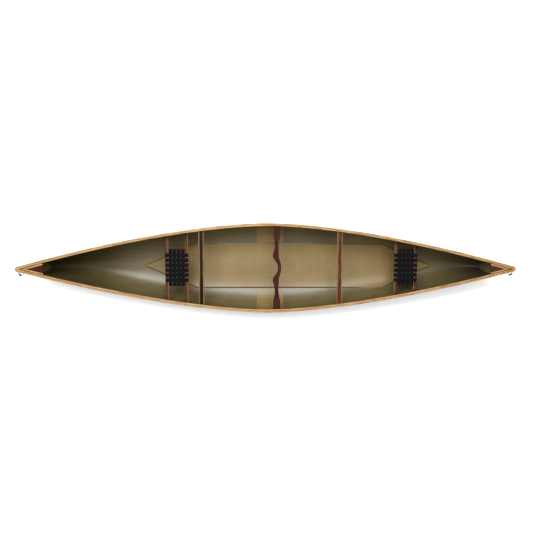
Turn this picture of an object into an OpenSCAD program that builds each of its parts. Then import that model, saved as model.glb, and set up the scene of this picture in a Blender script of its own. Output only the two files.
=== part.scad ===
/* [Hull] */
// Overall length over the rounded ends of the outwales
overall_length = 5030; // [4200:10:6030]
// Beam across the outside of the outwales
gunwale_beam = 931; // [776:1:1117]
// Depth at the middle, from the bottom to the top of the gunwales
centre_depth = 370; // [309:1:444]
// Height of the bow at its end
bow_height = 530; // [442:1:636]
// Height of the stern at its end
stern_height = 495; // [442:1:594]
// Rise of the bottom line towards the ends
rocker = 40; // [20:1:60]
// Thickness of the laminate
skin = 3; // [2:0.5:4]
// Radius of the stem edges
stem_radius = 15; // [14:0.5:16]
// Length of the curved stem profile at each end
stem_length = 420; // [350:5:500]
// How far the sides swell out past the gunwales at the middle
tumblehome = 8; // [0:1:12]

/* [Gunwales and decks] */
// Height of the inwales and outwales
rail_height = 22; // [18:1:27]
// Width of each inwale
inwale_width = 13; // [12:0.5:16]
// Width of each outwale
outwale_width = 15; // [12:0.5:18]
// Distance between the screws that clamp each pair of rails
screw_gap = 200; // [160:5:240]
// Length of the bow deck, from the end of the boat to its inboard edge
bow_deck_length = 255; // [212:1:306]
// Length of the stern deck, from the end of the boat to its inboard edge
stern_deck_length = 239; // [200:1:286]
// Thickness of the decks
deck_thickness = 10; // [8:1:12]
// Width of the dark line inlaid along each side of a deck
pinstripe_width = 6; // [5:0.5:7]
// Width of the pale strips beside the middle panel of a deck
deck_strip_width = 14; // [12:1:17]

/* [Floor and bulkheads] */
// Half of the width of the raised floor core
core_half_width = 251; // [209:1:301]
// Where the floor core starts to narrow, towards the bow
core_shoulder_bow = 781; // [651:1:937]
// Where the floor core starts to narrow, towards the stern
core_shoulder_stern = 1258; // [1050:1:1500]
// Where the floor core comes to its point, towards the bow
core_point_bow = 1386; // [1155:1:1660]
// Where the floor core comes to its point, towards the stern
core_point_stern = 1838; // [1640:1:1840]
// Thickness of the floor core
core_thickness = 6; // [5:0.5:8]
// Width of the bevel around the floor core
core_bevel = 14; // [11:1:17]
// Forward edge of the stiffening bands on the sides
band_forward = 122; // [102:1:146]
// Aft edge of the stiffening bands on the sides
band_aft = 172; // [143:1:206]
// Thickness of the stiffening bands
band_thickness = 4; // [3:0.5:5]
// Distance of the bow bulkhead beyond the inboard edge of the bow deck
bow_bulkhead_inset = 78; // [65:1:94]
// Distance of the stern bulkhead beyond the inboard edge of the stern deck
stern_bulkhead_inset = 46; // [38:1:55]
// Thickness of the bulkheads
bulkhead_thickness = 4; // [3:0.5:5]

/* [Thwarts and yoke] */
// Distance of the bow thwart ahead of the middle
bow_thwart_at = 695; // [580:1:780]
// Distance of the stern thwart behind the middle
stern_thwart_at = 744; // [620:1:890]
// Width of the thwarts at their ends
thwart_end_width = 56; // [47:1:67]
// Width of the thwarts at the middle
thwart_waist_width = 48; // [40:1:55]
// Thickness of the thwarts
thwart_thickness = 19; // [16:1:23]
// Width of the pale edge strips of the thwarts
thwart_edge_width = 9; // [7:0.5:11]
// Distance of the yoke behind the middle
yoke_at = 88; // [73:1:105]
// Width of the yoke at its ends
yoke_end_width = 72; // [62:1:84]
// Thickness of the yoke
yoke_thickness = 22; // [18:1:26]
// Distance between the two bolts at each end of the yoke
yoke_bolt_gap = 47; // [39:1:52]

/* [Seats] */
// Distance of the bow seat ahead of the middle
bow_seat_at = 958; // [900:1:1149]
// Distance of the stern seat behind the middle
stern_seat_at = 1453; // [1210:1:1500]
// Drop from the gunwale to the top of the bow seat
bow_seat_drop = 75; // [63:1:90]
// Drop from the gunwale to the top of the stern seat
stern_seat_drop = 95; // [80:1:114]
// Distance between the middles of the two cross rails of a seat
seat_rail_gap = 204; // [190:1:244]
// Width of the cross rails and of the stretchers
seat_rail_width = 34; // [29:1:41]
// Thickness of the cross rails and of the stretchers
seat_rail_thickness = 19; // [16:1:23]
// Width of the pale edge strips of the cross rails
seat_edge_width = 5; // [4:0.5:6]
// Distance between the middles of the two stretchers of a seat
stretcher_gap = 351; // [340:1:420]
// Thickness of the hanger boards
hanger_thickness = 13; // [11:0.5:15]
// Width of the seat webbing
web_width = 38; // [32:1:38]
// Thickness of the seat webbing
web_thickness = 1.5; // [1.2:0.1:2]
// Distance between the fore-and-aft straps
long_strap_pitch = 52; // [43:1:56]

/* [Fastenings and lines] */
// Radius of the bolts
bolt_radius = 2.5; // [2:0.1:3]
// Radius of the bolt heads
bolt_head_radius = 5.5; // [4.6:0.1:6.5]
// Radial clearance of the bolts in the wood
bolt_clearance = 0.25; // [0.1:0.05:0.4]
// Radius of the gunwale screws
screw_radius = 2; // [1.7:0.1:2.4]
// Outer radius of the line tubes through the stems
line_tube_radius = 7; // [6:0.25:8]
// Inner radius of the line tubes
line_tube_bore = 5.25; // [4.5:0.25:5.5]
// Distance of the line tubes from the ends of the boat
line_tube_inset = 53; // [48:1:60]
// Depth of the line tubes below the gunwale top
line_tube_drop = 62; // [52:1:74]

/* [Hidden] */

// The route of the bow grab loop: out of the starboard mouth of its tube, round
// the stem, out to the knot and back into the port mouth
bow_loop_route = [
    [2462, -1, 459], [2462, -25, 459], [2465, -30, 460], [2473, -30.5, 462],
    [2483, -27, 465], [2493, -23, 468], [2501, -17, 471], [2507, -8, 474],
    [2509, 1, 476], [2508, 11, 479], [2504, 24, 484], [2498, 37, 489],
    [2491, 50, 492], [2482, 60, 492], [2473, 64, 488], [2466, 60, 481],
    [2463, 51, 473], [2462, 43, 466], [2462, 34, 461], [2462, 25, 459], [2462, 1, 459]
];
// The stern loop takes the same route, mirrored, at the height of the stern tube
stern_loop_drop = 33;
rope_radius = 4;
rope_sides = 8;
knot_at = 13;
knot_radius = 9;
knot_length = 22;

// How the plan, the sheer, the bottom line and the stem curve
plan_power = 1.63;
// Half-breadth that the plan would still have at the very ends
plan_end = 7;
plan_round = 0.06;
sheer_power = 2.6;
rocker_power = 3.5;
// How round the bilge is and how upright the sides are, at the middle and at the ends
middle_bilge = 3.3;
end_bilge = 1.8;
bilge_power = 2;
middle_side = 3;
end_side = 1.3;
side_power = 4;
// Points on each half of a section, and how they crowd towards the keel
girth_steps = 11;
girth_power = 1.4;
// Distance between sections along the boat, and over the stems
station_gap = 130;
stem_gap = 42;
// Half-breadth of the hull where its hollow ends and the stem is solid
hollow_end = 15.1;
stem_cap_angle = 75;
nose_cap_angle = 8;
glue = 0.3;
core_glue = 1;
core_gap = 6;
edge_gap = 2;
washer_height = 1;
nut_height = 5;
nut_radius = 4.6;
bolt_tail = 3;
hardware_gap = 0.1;
curve_steps = 24;

ash = [0.82, 0.67, 0.47];
walnut = [0.35, 0.22, 0.17];
dark_walnut = [0.22, 0.14, 0.12];
laminate = [0.32, 0.28, 0.17];
aramid = [0.6, 0.5, 0.34];
steel = [0.75, 0.76, 0.78];
webbing = [0.09, 0.09, 0.1];
rope = [0.13, 0.12, 0.12];
foam = [0.93, 0.92, 0.88];
tube_plastic = [0.1, 0.1, 0.1];

half_length = overall_length / 2;
skin_half_beam = gunwale_beam / 2 - outwale_width;
end_angle = atan((skin_half_beam - plan_end) * plan_power / half_length);
hull_tip = half_length + plan_end / tan(end_angle) - stem_radius * (1 / sin(end_angle) - 1);
stem_round_start = hull_tip - stem_radius * (1 - sin(end_angle));
stem_end = hull_tip - stem_radius * (1 - sin(stem_cap_angle));
stem_start = hull_tip - stem_length;
bow_deck_edge = half_length - bow_deck_length;
stern_deck_edge = half_length - stern_deck_length;

// ---- Lines of the hull ----

function blend(a, b, t) = a + (b - a) * t;
function ease(t) = (1 - cos(180 * t)) / 2;

// Half-breadth of the skin in plan: a power curve, rounded off at the middle
plan_low = pow(plan_round, plan_power);
plan_span = pow(1 + plan_round * plan_round, plan_power / 2) - plan_low;
function plan(x) =
    let (u = x / half_length)
    skin_half_beam - (skin_half_beam - plan_end)
        * (pow(u * u + plan_round * plan_round, plan_power / 2) - plan_low) / plan_span;
// The station at which the plan has the half-breadth b
function station_of(b) =
    half_length * sqrt(
        pow((skin_half_beam - b) / (skin_half_beam - plan_end) * plan_span + plan_low, 2 / plan_power)
        - plan_round * plan_round
    );
function half_breadth(x) =
    let (a = abs(x))
    a < stem_round_start ? plan(a) : sqrt(max(0, pow(stem_radius, 2) - pow(a - hull_tip + stem_radius, 2)));
// Thickness t square to the side, measured straight across the boat
function across(t, x) =
    let (a = min(abs(x), stem_round_start - 1))
    t / cos(atan((plan(a - 1) - plan(a + 1)) / 2));
function side_angle(x) = atan((plan(x - 1) - plan(x + 1)) / 2);

function sheer(x) =
    centre_depth + ((x > 0 ? bow_height : stern_height) - centre_depth)
        * pow(abs(x) / half_length, sheer_power);
function rail_bottom(x) = sheer(x) - rail_height;
function stem_rise(x) =
    let (t = max(0, (abs(x) - stem_start) / stem_length))
    1 - sqrt(max(0, 1 - t * t));
function keel(x) =
    let (low = rocker * pow(abs(x) / half_length, rocker_power))
    blend(low, rail_bottom(x), stem_rise(x));

// Half a section as [y, z] points from the keel to the foot of the gunwale,
// a superellipse that stands upright where the gunwale starts
function half_section(x, inset) =
    let (
        u = abs(x) / half_length,
        p = blend(middle_bilge, end_bilge, pow(u, bilge_power)),
        q = blend(middle_side, end_side, pow(u, side_power)),
        half = half_breadth(x) - across(inset, x),
        low = keel(x) + inset,
        high = rail_bottom(x),
        swell = tumblehome * (1 - pow(u, side_power))
    )
    [for (j = [0 : girth_steps])
        let (
            angle = 90 * pow(j / girth_steps, girth_power),
            rise = 1 - pow(cos(angle), 2 / q)
        )
        [half * pow(sin(angle), 2 / p) + swell * pow(sin(180 * rise), 2), low + (high - low) * rise]];
// A whole section from the port gunwale top, under the keel, to the starboard one
function section(x, inset) =
    let (
        half = half_section(x, inset),
        top = [half[girth_steps].x, sheer(x)]
    )
    concat(
        [top],
        [for (j = [girth_steps : -1 : 0]) half[j]],
        [for (j = [1 : girth_steps]) [-half[j].x, half[j].y]],
        [[-top.x, top.y]]
    );

// ---- Stations along the boat ----

function steps(a, b, gap) =
    let (n = max(1, ceil((b - a) / gap - 0.001)))
    [for (i = [0 : n - 1]) blend(a, b, i / n)];
function gap_between(a, b) = (abs(a) + abs(b)) / 2 > stem_start ? stem_gap : station_gap;
function fill(keys) =
    [for (k = [0 : len(keys) - 2])
        each steps(keys[k], keys[k + 1], gap_between(keys[k], keys[k + 1]))];

// Where the inner edges of the inwales and of the deck strips meet at the middle
inwale_meet = station_of(across(skin + inwale_width, half_length));
strip_meet = station_of(across(skin + inwale_width + pinstripe_width, half_length));
panel_meet = station_of(across(skin + inwale_width + pinstripe_width + deck_strip_width, half_length));
hollow_tip = station_of(hollow_end);

// Angles round the stem at which the sections of its round nose lie
stem_angles = [32, 46, 60];
stem_keys = [
    panel_meet, strip_meet, inwale_meet, hollow_tip, stem_round_start,
    for (a = stem_angles) hull_tip - stem_radius * (1 - sin(a)),
    stem_end
];
bow_keys = concat([bow_deck_edge], stem_keys);
stern_keys = concat([stern_deck_edge], stem_keys);
middle_keys = [
    -stem_start, -core_point_stern, core_bevel - core_point_stern, -core_shoulder_stern,
    -band_aft, band_forward,
    core_shoulder_bow, core_point_bow - core_bevel, core_point_bow, stem_start
];
stations = concat(
    fill(concat([for (k = [len(stern_keys) - 1 : -1 : 0]) -stern_keys[k]], middle_keys, bow_keys)),
    [stem_end]
);
function stations_between(a, b) = [for (s = stations) if (s > a - 0.01 && s < b + 0.01) s];
hollow_stations = stations_between(-hollow_tip, hollow_tip);

// Lines as the straight-sided sections have them, between the stations too
sheer_line = [for (s = stations) [s, sheer(s)]];
inner_line = [for (s = stations) [s, half_breadth(s) - across(skin, s)]];
function sheer_at(x) = lookup(x, sheer_line);
function inner_at(x) = lookup(x, inner_line);
function inwale_edge(x) = max(0, half_breadth(x) - across(skin + inwale_width, x));
function inwale_middle(x) = inner_at(x) - across(inwale_width / 2, x);
// Inner half-section at any station, on the straight lines between two stations
function inner_section_at(x, inset) =
    let (
        i = min(len([for (s = stations) if (s <= x) s]), len(stations) - 1) - 1,
        t = (x - stations[i]) / (stations[i + 1] - stations[i]),
        a = half_section(stations[i], inset),
        b = half_section(stations[i + 1], inset)
    )
    [for (j = [0 : girth_steps]) blend(a[j], b[j], t)];
function inner_height(x, y) = lookup(abs(y), inner_section_at(x, skin));
function inner_half_width(x, z) = lookup(z, [for (p = inner_section_at(x, skin)) [p.y, p.x]]);
// Half-length of a cross piece between two heights, just clear of the skin
function cross_half(x, low, high) = min(inner_half_width(x, low), inner_half_width(x, high)) - edge_gap;

// ---- Solids carried along the boat ----

// Side faces between two rings of n points, as triangles
function wall_faces(rings, n) =
    [for (i = [0 : rings - 2], j = [0 : n - 1])
        let (a = i * n + j, b = i * n + (j + 1) % n)
        each [[a, b, b + n], [a, b + n, a + n]]];
// One end of a stack of rings, as a ladder of triangles from the first point to the last
function end_faces(n) =
    concat(
        [for (j = [0 : 1 : floor(n / 2) - 2])
            each [[j, j + 1, n - 2 - j], [j, n - 2 - j, n - 1 - j]]],
        n % 2 == 1 ? [[(n - 3) / 2, (n - 1) / 2, (n + 1) / 2]] : []
    );
function turned(faces) = [for (f = faces) [for (k = [len(f) - 1 : -1 : 0]) f[k]]];
function shifted(faces, by) = [for (f = faces) [for (v = f) v + by]];
// A solid through closed rings, each going clockwise as seen from the bow
module loft(rings) {
    n = len(rings[0]);
    last = (len(rings) - 1) * n;
    polyhedron(
        points = [for (r = rings) each r],
        faces = concat(
            wall_faces(len(rings), n),
            shifted(end_faces(n), last),
            turned(end_faces(n))
        ),
        convexity = 6
    );
}
// A ring of a rectangular rail at station x
function rail_ring(x, inside, outside, low, high) =
    [[x, outside, high], [x, outside, low], [x, inside, low], [x, inside, high]];

// ---- Hull ----

// The laminate is one moulded piece. It is drawn as solids that meet face to face
// at these stations, from the stern to the bow
hull_joint_shares = [-0.75, -0.45, -0.15, 0.15, 0.45, 0.75];
function nearest_station(x, i) =
    i + 1 < len(stations) && abs(stations[i + 1] - x) < abs(stations[i] - x)
        ? nearest_station(x, i + 1)
        : i;
hull_joints = concat(
    [0],
    [for (s = hull_joint_shares) nearest_station(s * half_length, 0)],
    [len(stations) - 1]
);

// The hull from station number a to station number b
module hull_between(a, b) {
    n = 2 * girth_steps + 3;
    count = len(stations);
    first = len([for (s = stations) if (s < -hollow_tip - 0.01) s]);
    last = first + len(hollow_stations) - 1;
    low = max(a, first);
    high = min(b, last);
    function out_at(i, j) = (i - a) * n + j;
    function in_at(i, j) = (b - a + 1 + i - low) * n + j;
    outside = [for (i = [a : b - 1], j = [0 : n - 2])
        each [[out_at(i, j), out_at(i, j + 1), out_at(i + 1, j + 1)],
              [out_at(i, j), out_at(i + 1, j + 1), out_at(i + 1, j)]]];
    inside = [for (i = [low : high - 1], j = [0 : n - 2])
        each [[in_at(i, j), in_at(i + 1, j + 1), in_at(i, j + 1)],
              [in_at(i, j), in_at(i + 1, j), in_at(i + 1, j + 1)]]];
    rims = [for (i = [low : high - 1])
        each [[out_at(i, 0), out_at(i + 1, 0), in_at(i + 1, 0)],
              [out_at(i, 0), in_at(i + 1, 0), in_at(i, 0)],
              [in_at(i, n - 1), in_at(i + 1, n - 1), out_at(i + 1, n - 1)],
              [in_at(i, n - 1), out_at(i + 1, n - 1), out_at(i, n - 1)]]];
    solid_steps = concat([for (k = [a : 1 : first - 2]) k], [for (k = [last + 1 : 1 : b - 1]) k]);
    solid_ends = [for (i = solid_steps)
        each [[out_at(i, 0), out_at(i + 1, 0), out_at(i + 1, n - 1)],
              [out_at(i, 0), out_at(i + 1, n - 1), out_at(i, n - 1)]]];
    bow_step = [[out_at(last + 1, 0), out_at(last + 1, n - 1), out_at(last, n - 1),
        in_at(last, n - 1), in_at(last, 0), out_at(last, 0)]];
    stern_step = [[out_at(first - 1, 0), out_at(first, 0), in_at(first, 0),
        in_at(first, n - 1), out_at(first, n - 1), out_at(first - 1, n - 1)]];
    bow_stem = concat(
        bow_step,
        [[for (j = [0 : n - 1]) out_at(b, j)], [for (j = [n - 1 : -1 : 0]) in_at(high, j)]]
    );
    stern_stem = concat(
        stern_step,
        [[for (j = [n - 1 : -1 : 0]) out_at(a, j)], [for (j = [0 : n - 1]) in_at(low, j)]]
    );
    bow_joint = [for (j = [0 : n - 2])
        each [[out_at(b, j), in_at(b, j + 1), out_at(b, j + 1)],
              [out_at(b, j), in_at(b, j), in_at(b, j + 1)]]];
    stern_joint = [for (j = [0 : n - 2])
        each [[out_at(a, j), out_at(a, j + 1), in_at(a, j + 1)],
              [out_at(a, j), in_at(a, j + 1), in_at(a, j)]]];
    polyhedron(
        points = concat(
            [for (i = [a : b]) each [for (p = section(stations[i], 0)) [stations[i], p.x, p.y]]],
            [for (i = [low : high]) each [for (p = section(stations[i], skin)) [stations[i], p.x, p.y]]]
        ),
        faces = concat(
            outside, inside, rims, solid_ends,
            b > last ? bow_stem : turned(bow_joint),
            a < first ? stern_stem : turned(stern_joint)
        ),
        convexity = 6
    );
}
module hull_part(k) {
    color(laminate)
    hull_between(hull_joints[k], hull_joints[k + 1]);
}
module hull_end(k, end) {
    color(laminate)
    difference() {
        hull_between(hull_joints[k], hull_joints[k + 1]);
        line_tube_place(end)
            cylinder(r = line_tube_radius, h = line_tube_length, center = true, $fn = 48);
    }
}

// A flat-topped core on the bottom, with bevelled edges that come to a point at each end
function core_half_from(point, taper) = blend(edge_gap, core_half_width, point / taper);
function core_half_at(x) =
    x > core_shoulder_bow
        ? core_half_from(core_point_bow - x, core_point_bow - core_shoulder_bow)
        : x < -core_shoulder_stern
            ? core_half_from(core_point_stern + x, core_point_stern - core_shoulder_stern)
            : core_half_width;
module floor_core() {
    half_points = 6;
    thin = 0.6;
    spots = stations_between(-core_point_stern, core_point_bow);
    color(aramid)
    loft([for (x = spots)
        let (
            w = core_half_at(x),
            tip = x > core_point_bow - 1 || x < 1 - core_point_stern,
            top = tip ? w : max(w - core_bevel, w / 2),
            t = tip ? thin : core_thickness
        )
        concat(
            [for (j = [half_points : -1 : -half_points])
                let (y = w * j / half_points)
                [x, y, inner_height(x, y) + core_glue]],
            [for (j = [-half_points : half_points])
                let (y = top * j / half_points)
                [x, y, inner_height(x, y) + core_glue + t]]
        )]);
}

// A stiffening band up the inside of the port side, from the floor core to just
// below the nuts of the yoke
module side_band() {
    middle = half_section(0, skin);
    start = core_half_width + core_gap;
    below = len([for (p = middle) if (p.x <= start) p]);
    share = (start - middle[below - 1].x) / (middle[below].x - middle[below - 1].x);
    finish = yoke_low - washer_height - nut_height - bolt_tail - edge_gap;
    reach = (finish - middle[girth_steps - 1].y) / (middle[girth_steps].y - middle[girth_steps - 1].y);
    color(aramid)
    loft([for (x = stations_between(-band_aft, band_forward))
        let (
            outside = half_section(x, skin + glue),
            inside = half_section(x, skin + glue + band_thickness)
        )
        concat(
            [let (p = blend(outside[girth_steps - 1], outside[girth_steps], reach)) [x, p.x, p.y]],
            [for (j = [girth_steps - 1 : -1 : below]) [x, outside[j].x, outside[j].y]],
            [let (p = blend(outside[below - 1], outside[below], share)) [x, p.x, p.y]],
            [let (p = blend(inside[below - 1], inside[below], share)) [x, p.x, p.y]],
            [for (j = [below : girth_steps - 1]) [x, inside[j].x, inside[j].y]],
            [let (p = blend(inside[girth_steps - 1], inside[girth_steps], reach)) [x, p.x, p.y]]
        )]);
}

// A full section of the hollow at station x, up to the foot of the gunwale less a drop
function hollow_ring(x, inset, drop) =
    let (half = inner_section_at(x, inset), top = half[girth_steps])
    concat(
        [[x, top.x, top.y - drop]],
        [for (j = [girth_steps - 1 : -1 : 0]) [x, half[j].x, half[j].y]],
        [for (j = [1 : girth_steps - 1]) [x, -half[j].x, half[j].y]],
        [[x, -top.x, top.y - drop]]
    );
bow_bulkhead_at = bow_deck_edge + bow_bulkhead_inset;
stern_bulkhead_at = stern_deck_edge + stern_bulkhead_inset;
module bulkhead(a, b) {
    color(laminate)
    loft([for (x = [a, b]) hollow_ring(x, skin + glue, glue)]);
}
module flotation(a, b) {
    slices = 5;
    inset = skin + edge_gap;
    color(foam)
    loft([for (i = [0 : slices]) hollow_ring(blend(a, b, i / slices), inset, edge_gap)]);
}

// ---- Gunwales ----

module bolt_holes(spots, z, length) {
    for (s = spots)
        translate([s.x, s.y, z])
            cylinder(r = bolt_radius + bolt_clearance, h = length, center = true, $fn = 32);
}
// Bolt places on the port side, as [x, y]
function port_bolt(x) = [x, inwale_middle(x)];
bow_thwart_spots = [port_bolt(bow_thwart_at)];
stern_thwart_spots = [port_bolt(-stern_thwart_at)];
yoke_spots = [for (s = [1, -1]) port_bolt(-yoke_at + s * yoke_bolt_gap / 2)];
bow_seat_spots = [for (s = [1, -1]) port_bolt(bow_seat_at + s * seat_rail_gap / 2)];
stern_seat_spots = [for (s = [1, -1]) port_bolt(-stern_seat_at + s * seat_rail_gap / 2)];
port_spots = concat(bow_thwart_spots, stern_thwart_spots, yoke_spots, bow_seat_spots, stern_seat_spots);

module inwale() {
    color(ash)
    difference() {
        loft([for (x = hollow_stations)
            rail_ring(x, inwale_edge(x), half_breadth(x) - across(skin, x), rail_bottom(x), sheer(x))]);
        bolt_holes(port_spots, centre_depth, 4 * centre_depth);
    }
}

// The outwales run on past the stems and round off together
function nose_fit(r, n) =
    n == 0 ? r : nose_fit(plan(half_length - r) + across(outwale_width, half_length - r), n - 1);
nose_radius = nose_fit(outwale_width, 12);
nose_centre = half_length - nose_radius;
module outwale() {
    first_angle = acos((stem_end + 0.5 - nose_centre) / nose_radius);
    nose_steps = 5;
    nose = [for (i = [0 : nose_steps])
        let (a = blend(first_angle, nose_cap_angle, i / nose_steps))
        [i == nose_steps ? half_length : nose_centre + nose_radius * cos(a), nose_radius * sin(a)]];
    body = [for (x = stations)
        let (a = abs(x))
        rail_ring(x, half_breadth(x),
            a < nose_centre ? half_breadth(x) + across(outwale_width, x)
                : sqrt(pow(nose_radius, 2) - pow(a - nose_centre, 2)),
            rail_bottom(x), sheer(x))];
    bow_nose = [for (p = nose)
        rail_ring(p.x, 0, p.y, rail_bottom(p.x), sheer(p.x))];
    stern_nose = [for (i = [nose_steps : -1 : 0])
        rail_ring(-nose[i].x, 0, nose[i].y, rail_bottom(-nose[i].x), sheer(-nose[i].x))];
    color(ash)
    loft(concat(stern_nose, body, bow_nose));
}

// Screws driven from inside, through the inwale and the skin into the outwale
module gunwale_screws() {
    reach = min(bow_deck_edge, stern_deck_edge) - 2 * screw_gap / 5;
    each_way = floor(reach / screw_gap);
    head_height = 1.6;
    bite = inwale_width + skin + outwale_width * 0.6;
    color(steel)
    for (k = [-each_way : each_way])
        let (x = k * screw_gap)
        translate([x, lookup(x, [for (s = stations) [s, inwale_edge(s)]]), sheer_at(x) - rail_height / 2])
            rotate([-90, 0, -side_angle(x)]) {
                cylinder(r = screw_radius, h = bite, $fn = 24);
                translate([0, 0, -head_height])
                    cylinder(r = 2 * screw_radius, h = head_height, $fn = 24);
            }
}

// ---- Decks ----

// One layer of a deck between two offsets from the inwale, on the port side
module deck_layer(a, b, end, outer_offset, inner_offset) {
    function edge(x, offset) = max(0, half_breadth(x) - across(skin + inwale_width + offset, x));
    spots = stations_between(min(end * a, end * b), max(end * a, end * b));
    loft([for (x = spots)
        rail_ring(x, edge(x, inner_offset), edge(x, outer_offset), sheer(x) - deck_thickness, sheer(x))]);
}
module both_sides() {
    children();
    mirror([0, 1, 0]) children();
}
module deck_panel(edge_at, end) {
    offset = pinstripe_width + deck_strip_width;
    spots = stations_between(min(end * edge_at, end * panel_meet), max(end * edge_at, end * panel_meet));
    color(walnut)
    loft([for (x = spots)
        let (w = abs(x) > panel_meet - 0.01 ? 0 : half_breadth(x) - across(skin + inwale_width + offset, x))
        rail_ring(x, -w, w, sheer(x) - deck_thickness, sheer(x))]);
}
module deck_strips(edge_at, end) {
    color(ash)
    both_sides()
        deck_layer(edge_at, strip_meet, end, pinstripe_width, pinstripe_width + deck_strip_width);
}
module deck_pinstripes(edge_at, end) {
    color(dark_walnut)
    both_sides()
        deck_layer(edge_at, inwale_meet, end, 0, pinstripe_width);
}

// ---- Thwarts and yoke ----

// Highest flat that clears the inwales between two stations
function under_rails(a, b) = min(sheer_at(a), sheer_at(b)) - rail_height;
// Outline of a cross piece with its ends cut along the skin: front and rear
// edges are lists of distances from its middle line, from the middle to the end
function cross_outline(x, front, rear, low, high) =
    let (
        end_front = cross_half(x + front[curve_steps], low, high),
        end_rear = cross_half(x + rear[curve_steps], low, high)
    )
    concat(
        [for (i = [-curve_steps : curve_steps]) [x + front[abs(i)], end_front * i / curve_steps]],
        [for (i = [curve_steps : -1 : -curve_steps]) [x + rear[abs(i)], end_rear * i / curve_steps]]
    );
function thwart_half(i, less) =
    blend(thwart_waist_width, thwart_end_width, ease(i / curve_steps)) / 2 - less;
module thwart_plate(x, spots, less_front, less_rear) {
    top = under_rails(x - thwart_end_width / 2, x + thwart_end_width / 2);
    front = [for (i = [0 : curve_steps]) less_front[0] * thwart_half(i, less_front[1])];
    rear = [for (i = [0 : curve_steps]) less_rear[0] * thwart_half(i, less_rear[1])];
    difference() {
        translate([0, 0, top - thwart_thickness])
            linear_extrude(height = thwart_thickness)
                polygon(cross_outline(x, front, rear, top - thwart_thickness, top));
        for (side = [1, -1])
            bolt_holes([for (s = spots) [s.x, side * s.y]], centre_depth, 4 * centre_depth);
    }
}
module thwart_core(x, spots, tone) {
    color(tone)
    thwart_plate(x, spots, [1, thwart_edge_width], [-1, thwart_edge_width]);
}
module thwart_edges(x, spots) {
    color(ash) {
        thwart_plate(x, spots, [1, 0], [1, thwart_edge_width]);
        thwart_plate(x, spots, [-1, thwart_edge_width], [-1, 0]);
    }
}

// Outline of the yoke: distances of its edges from its middle line at five
// places across the half span, with eased curves between them
yoke_neck = 126;
yoke_waist = 240;
yoke_flare = 365;
function yoke_edge(y, neck, lobe, waist, tip) =
    y < yoke_neck ? blend(neck, lobe, ease(pow(y / yoke_neck, 1.3)))
    : y < yoke_waist ? blend(lobe, waist, ease(pow((y - yoke_neck) / (yoke_waist - yoke_neck), 0.8)))
    : y < yoke_flare ? blend(waist, tip, ease((y - yoke_waist) / (yoke_flare - yoke_waist)))
    : tip;
module yoke() {
    top = under_rails(-yoke_at - yoke_end_width / 2, -yoke_at + yoke_end_width / 2);
    span = min(
        cross_half(-yoke_at - yoke_end_width / 2, top - yoke_thickness, top),
        cross_half(-yoke_at + yoke_end_width / 2, top - yoke_thickness, top)
    );
    fine = 3 * curve_steps;
    front = [for (i = [0 : fine]) yoke_edge(span * i / fine, -12, 42, 20, yoke_end_width / 2)];
    rear = [for (i = [0 : fine]) yoke_edge(span * i / fine, -46, -21, -17, -yoke_end_width / 2)];
    color(walnut)
    difference() {
        translate([-yoke_at, 0, top - yoke_thickness])
            linear_extrude(height = yoke_thickness)
                polygon(concat(
                    [for (i = [-fine : fine]) [front[abs(i)], span * i / fine]],
                    [for (i = [fine : -1 : -fine]) [rear[abs(i)], span * i / fine]]
                ));
        for (side = [1, -1])
            bolt_holes([for (s = yoke_spots) [s.x, side * s.y]], centre_depth, 4 * centre_depth);
    }
}

// ---- Bolts and nuts ----

// Top of the rail under a bolt head, clear of its slope
function head_seat(x) = max(sheer_at(x - bolt_head_radius), sheer_at(x + bolt_head_radius));
// A bolt with an oval head on a finishing washer, through to a point below the nut
module bolt(x, y, low) {
    seat = head_seat(x);
    foot = low - washer_height - nut_height - bolt_tail;
    r = bolt_head_radius;
    translate([x, y, 0])
        rotate_extrude($fn = 32)
            polygon([
                [0, foot], [bolt_radius, foot], [bolt_radius, seat], [r, seat], [0.9 * r, seat + 1],
                [0.72 * r, seat + 1.5], [0.5 * r, seat + 2.2], [0.25 * r, seat + 2.6], [0, seat + 2.7]
            ]);
}
module nut(x, y, low) {
    translate([x, y, low - washer_height - nut_height])
        difference() {
            union() {
                cylinder(r = nut_radius, h = nut_height, $fn = 6);
                translate([0, 0, nut_height])
                    cylinder(r = bolt_head_radius, h = washer_height, $fn = 32);
            }
            translate([0, 0, -1])
                cylinder(r = bolt_radius + hardware_gap, h = nut_height + washer_height + 2, $fn = 32);
        }
}
module bolts(spots, low) {
    color(steel)
    for (s = spots, side = [1, -1])
        bolt(s.x, side * s.y, low);
}
module nuts(spots, low) {
    for (s = spots, side = [1, -1])
        nut(s.x, side * s.y, low);
}
function thwart_low(x) =
    under_rails(x - thwart_end_width / 2, x + thwart_end_width / 2) - thwart_thickness;
yoke_low = under_rails(-yoke_at - yoke_end_width / 2, -yoke_at + yoke_end_width / 2) - yoke_thickness;

// ---- Seats ----

bow_seat_top = sheer_at(bow_seat_at) - bow_seat_drop;
stern_seat_top = sheer_at(-stern_seat_at) - stern_seat_drop;
module lock_nuts() {
    color(steel) {
        nuts(bow_thwart_spots, thwart_low(bow_thwart_at));
        nuts(stern_thwart_spots, thwart_low(-stern_thwart_at));
        nuts(yoke_spots, yoke_low);
        nuts(bow_seat_spots, bow_seat_top - seat_rail_thickness);
        nuts(stern_seat_spots, stern_seat_top - seat_rail_thickness);
    }
}
// A strip of a cross rail between two offsets from the rail's middle line
module rail_strip(x, top, spots, front, rear) {
    low = top - seat_rail_thickness;
    difference() {
        translate([0, 0, low])
            linear_extrude(height = seat_rail_thickness)
                polygon([
                    for (c = [[front, 1], [front, -1], [rear, -1], [rear, 1]])
                        [x + c[0], c[1] * cross_half(x + c[0], low, top)]
                ]);
        for (side = [1, -1])
            bolt_holes([for (s = spots) [s.x, side * s.y]], centre_depth, 4 * centre_depth);
    }
}
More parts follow.
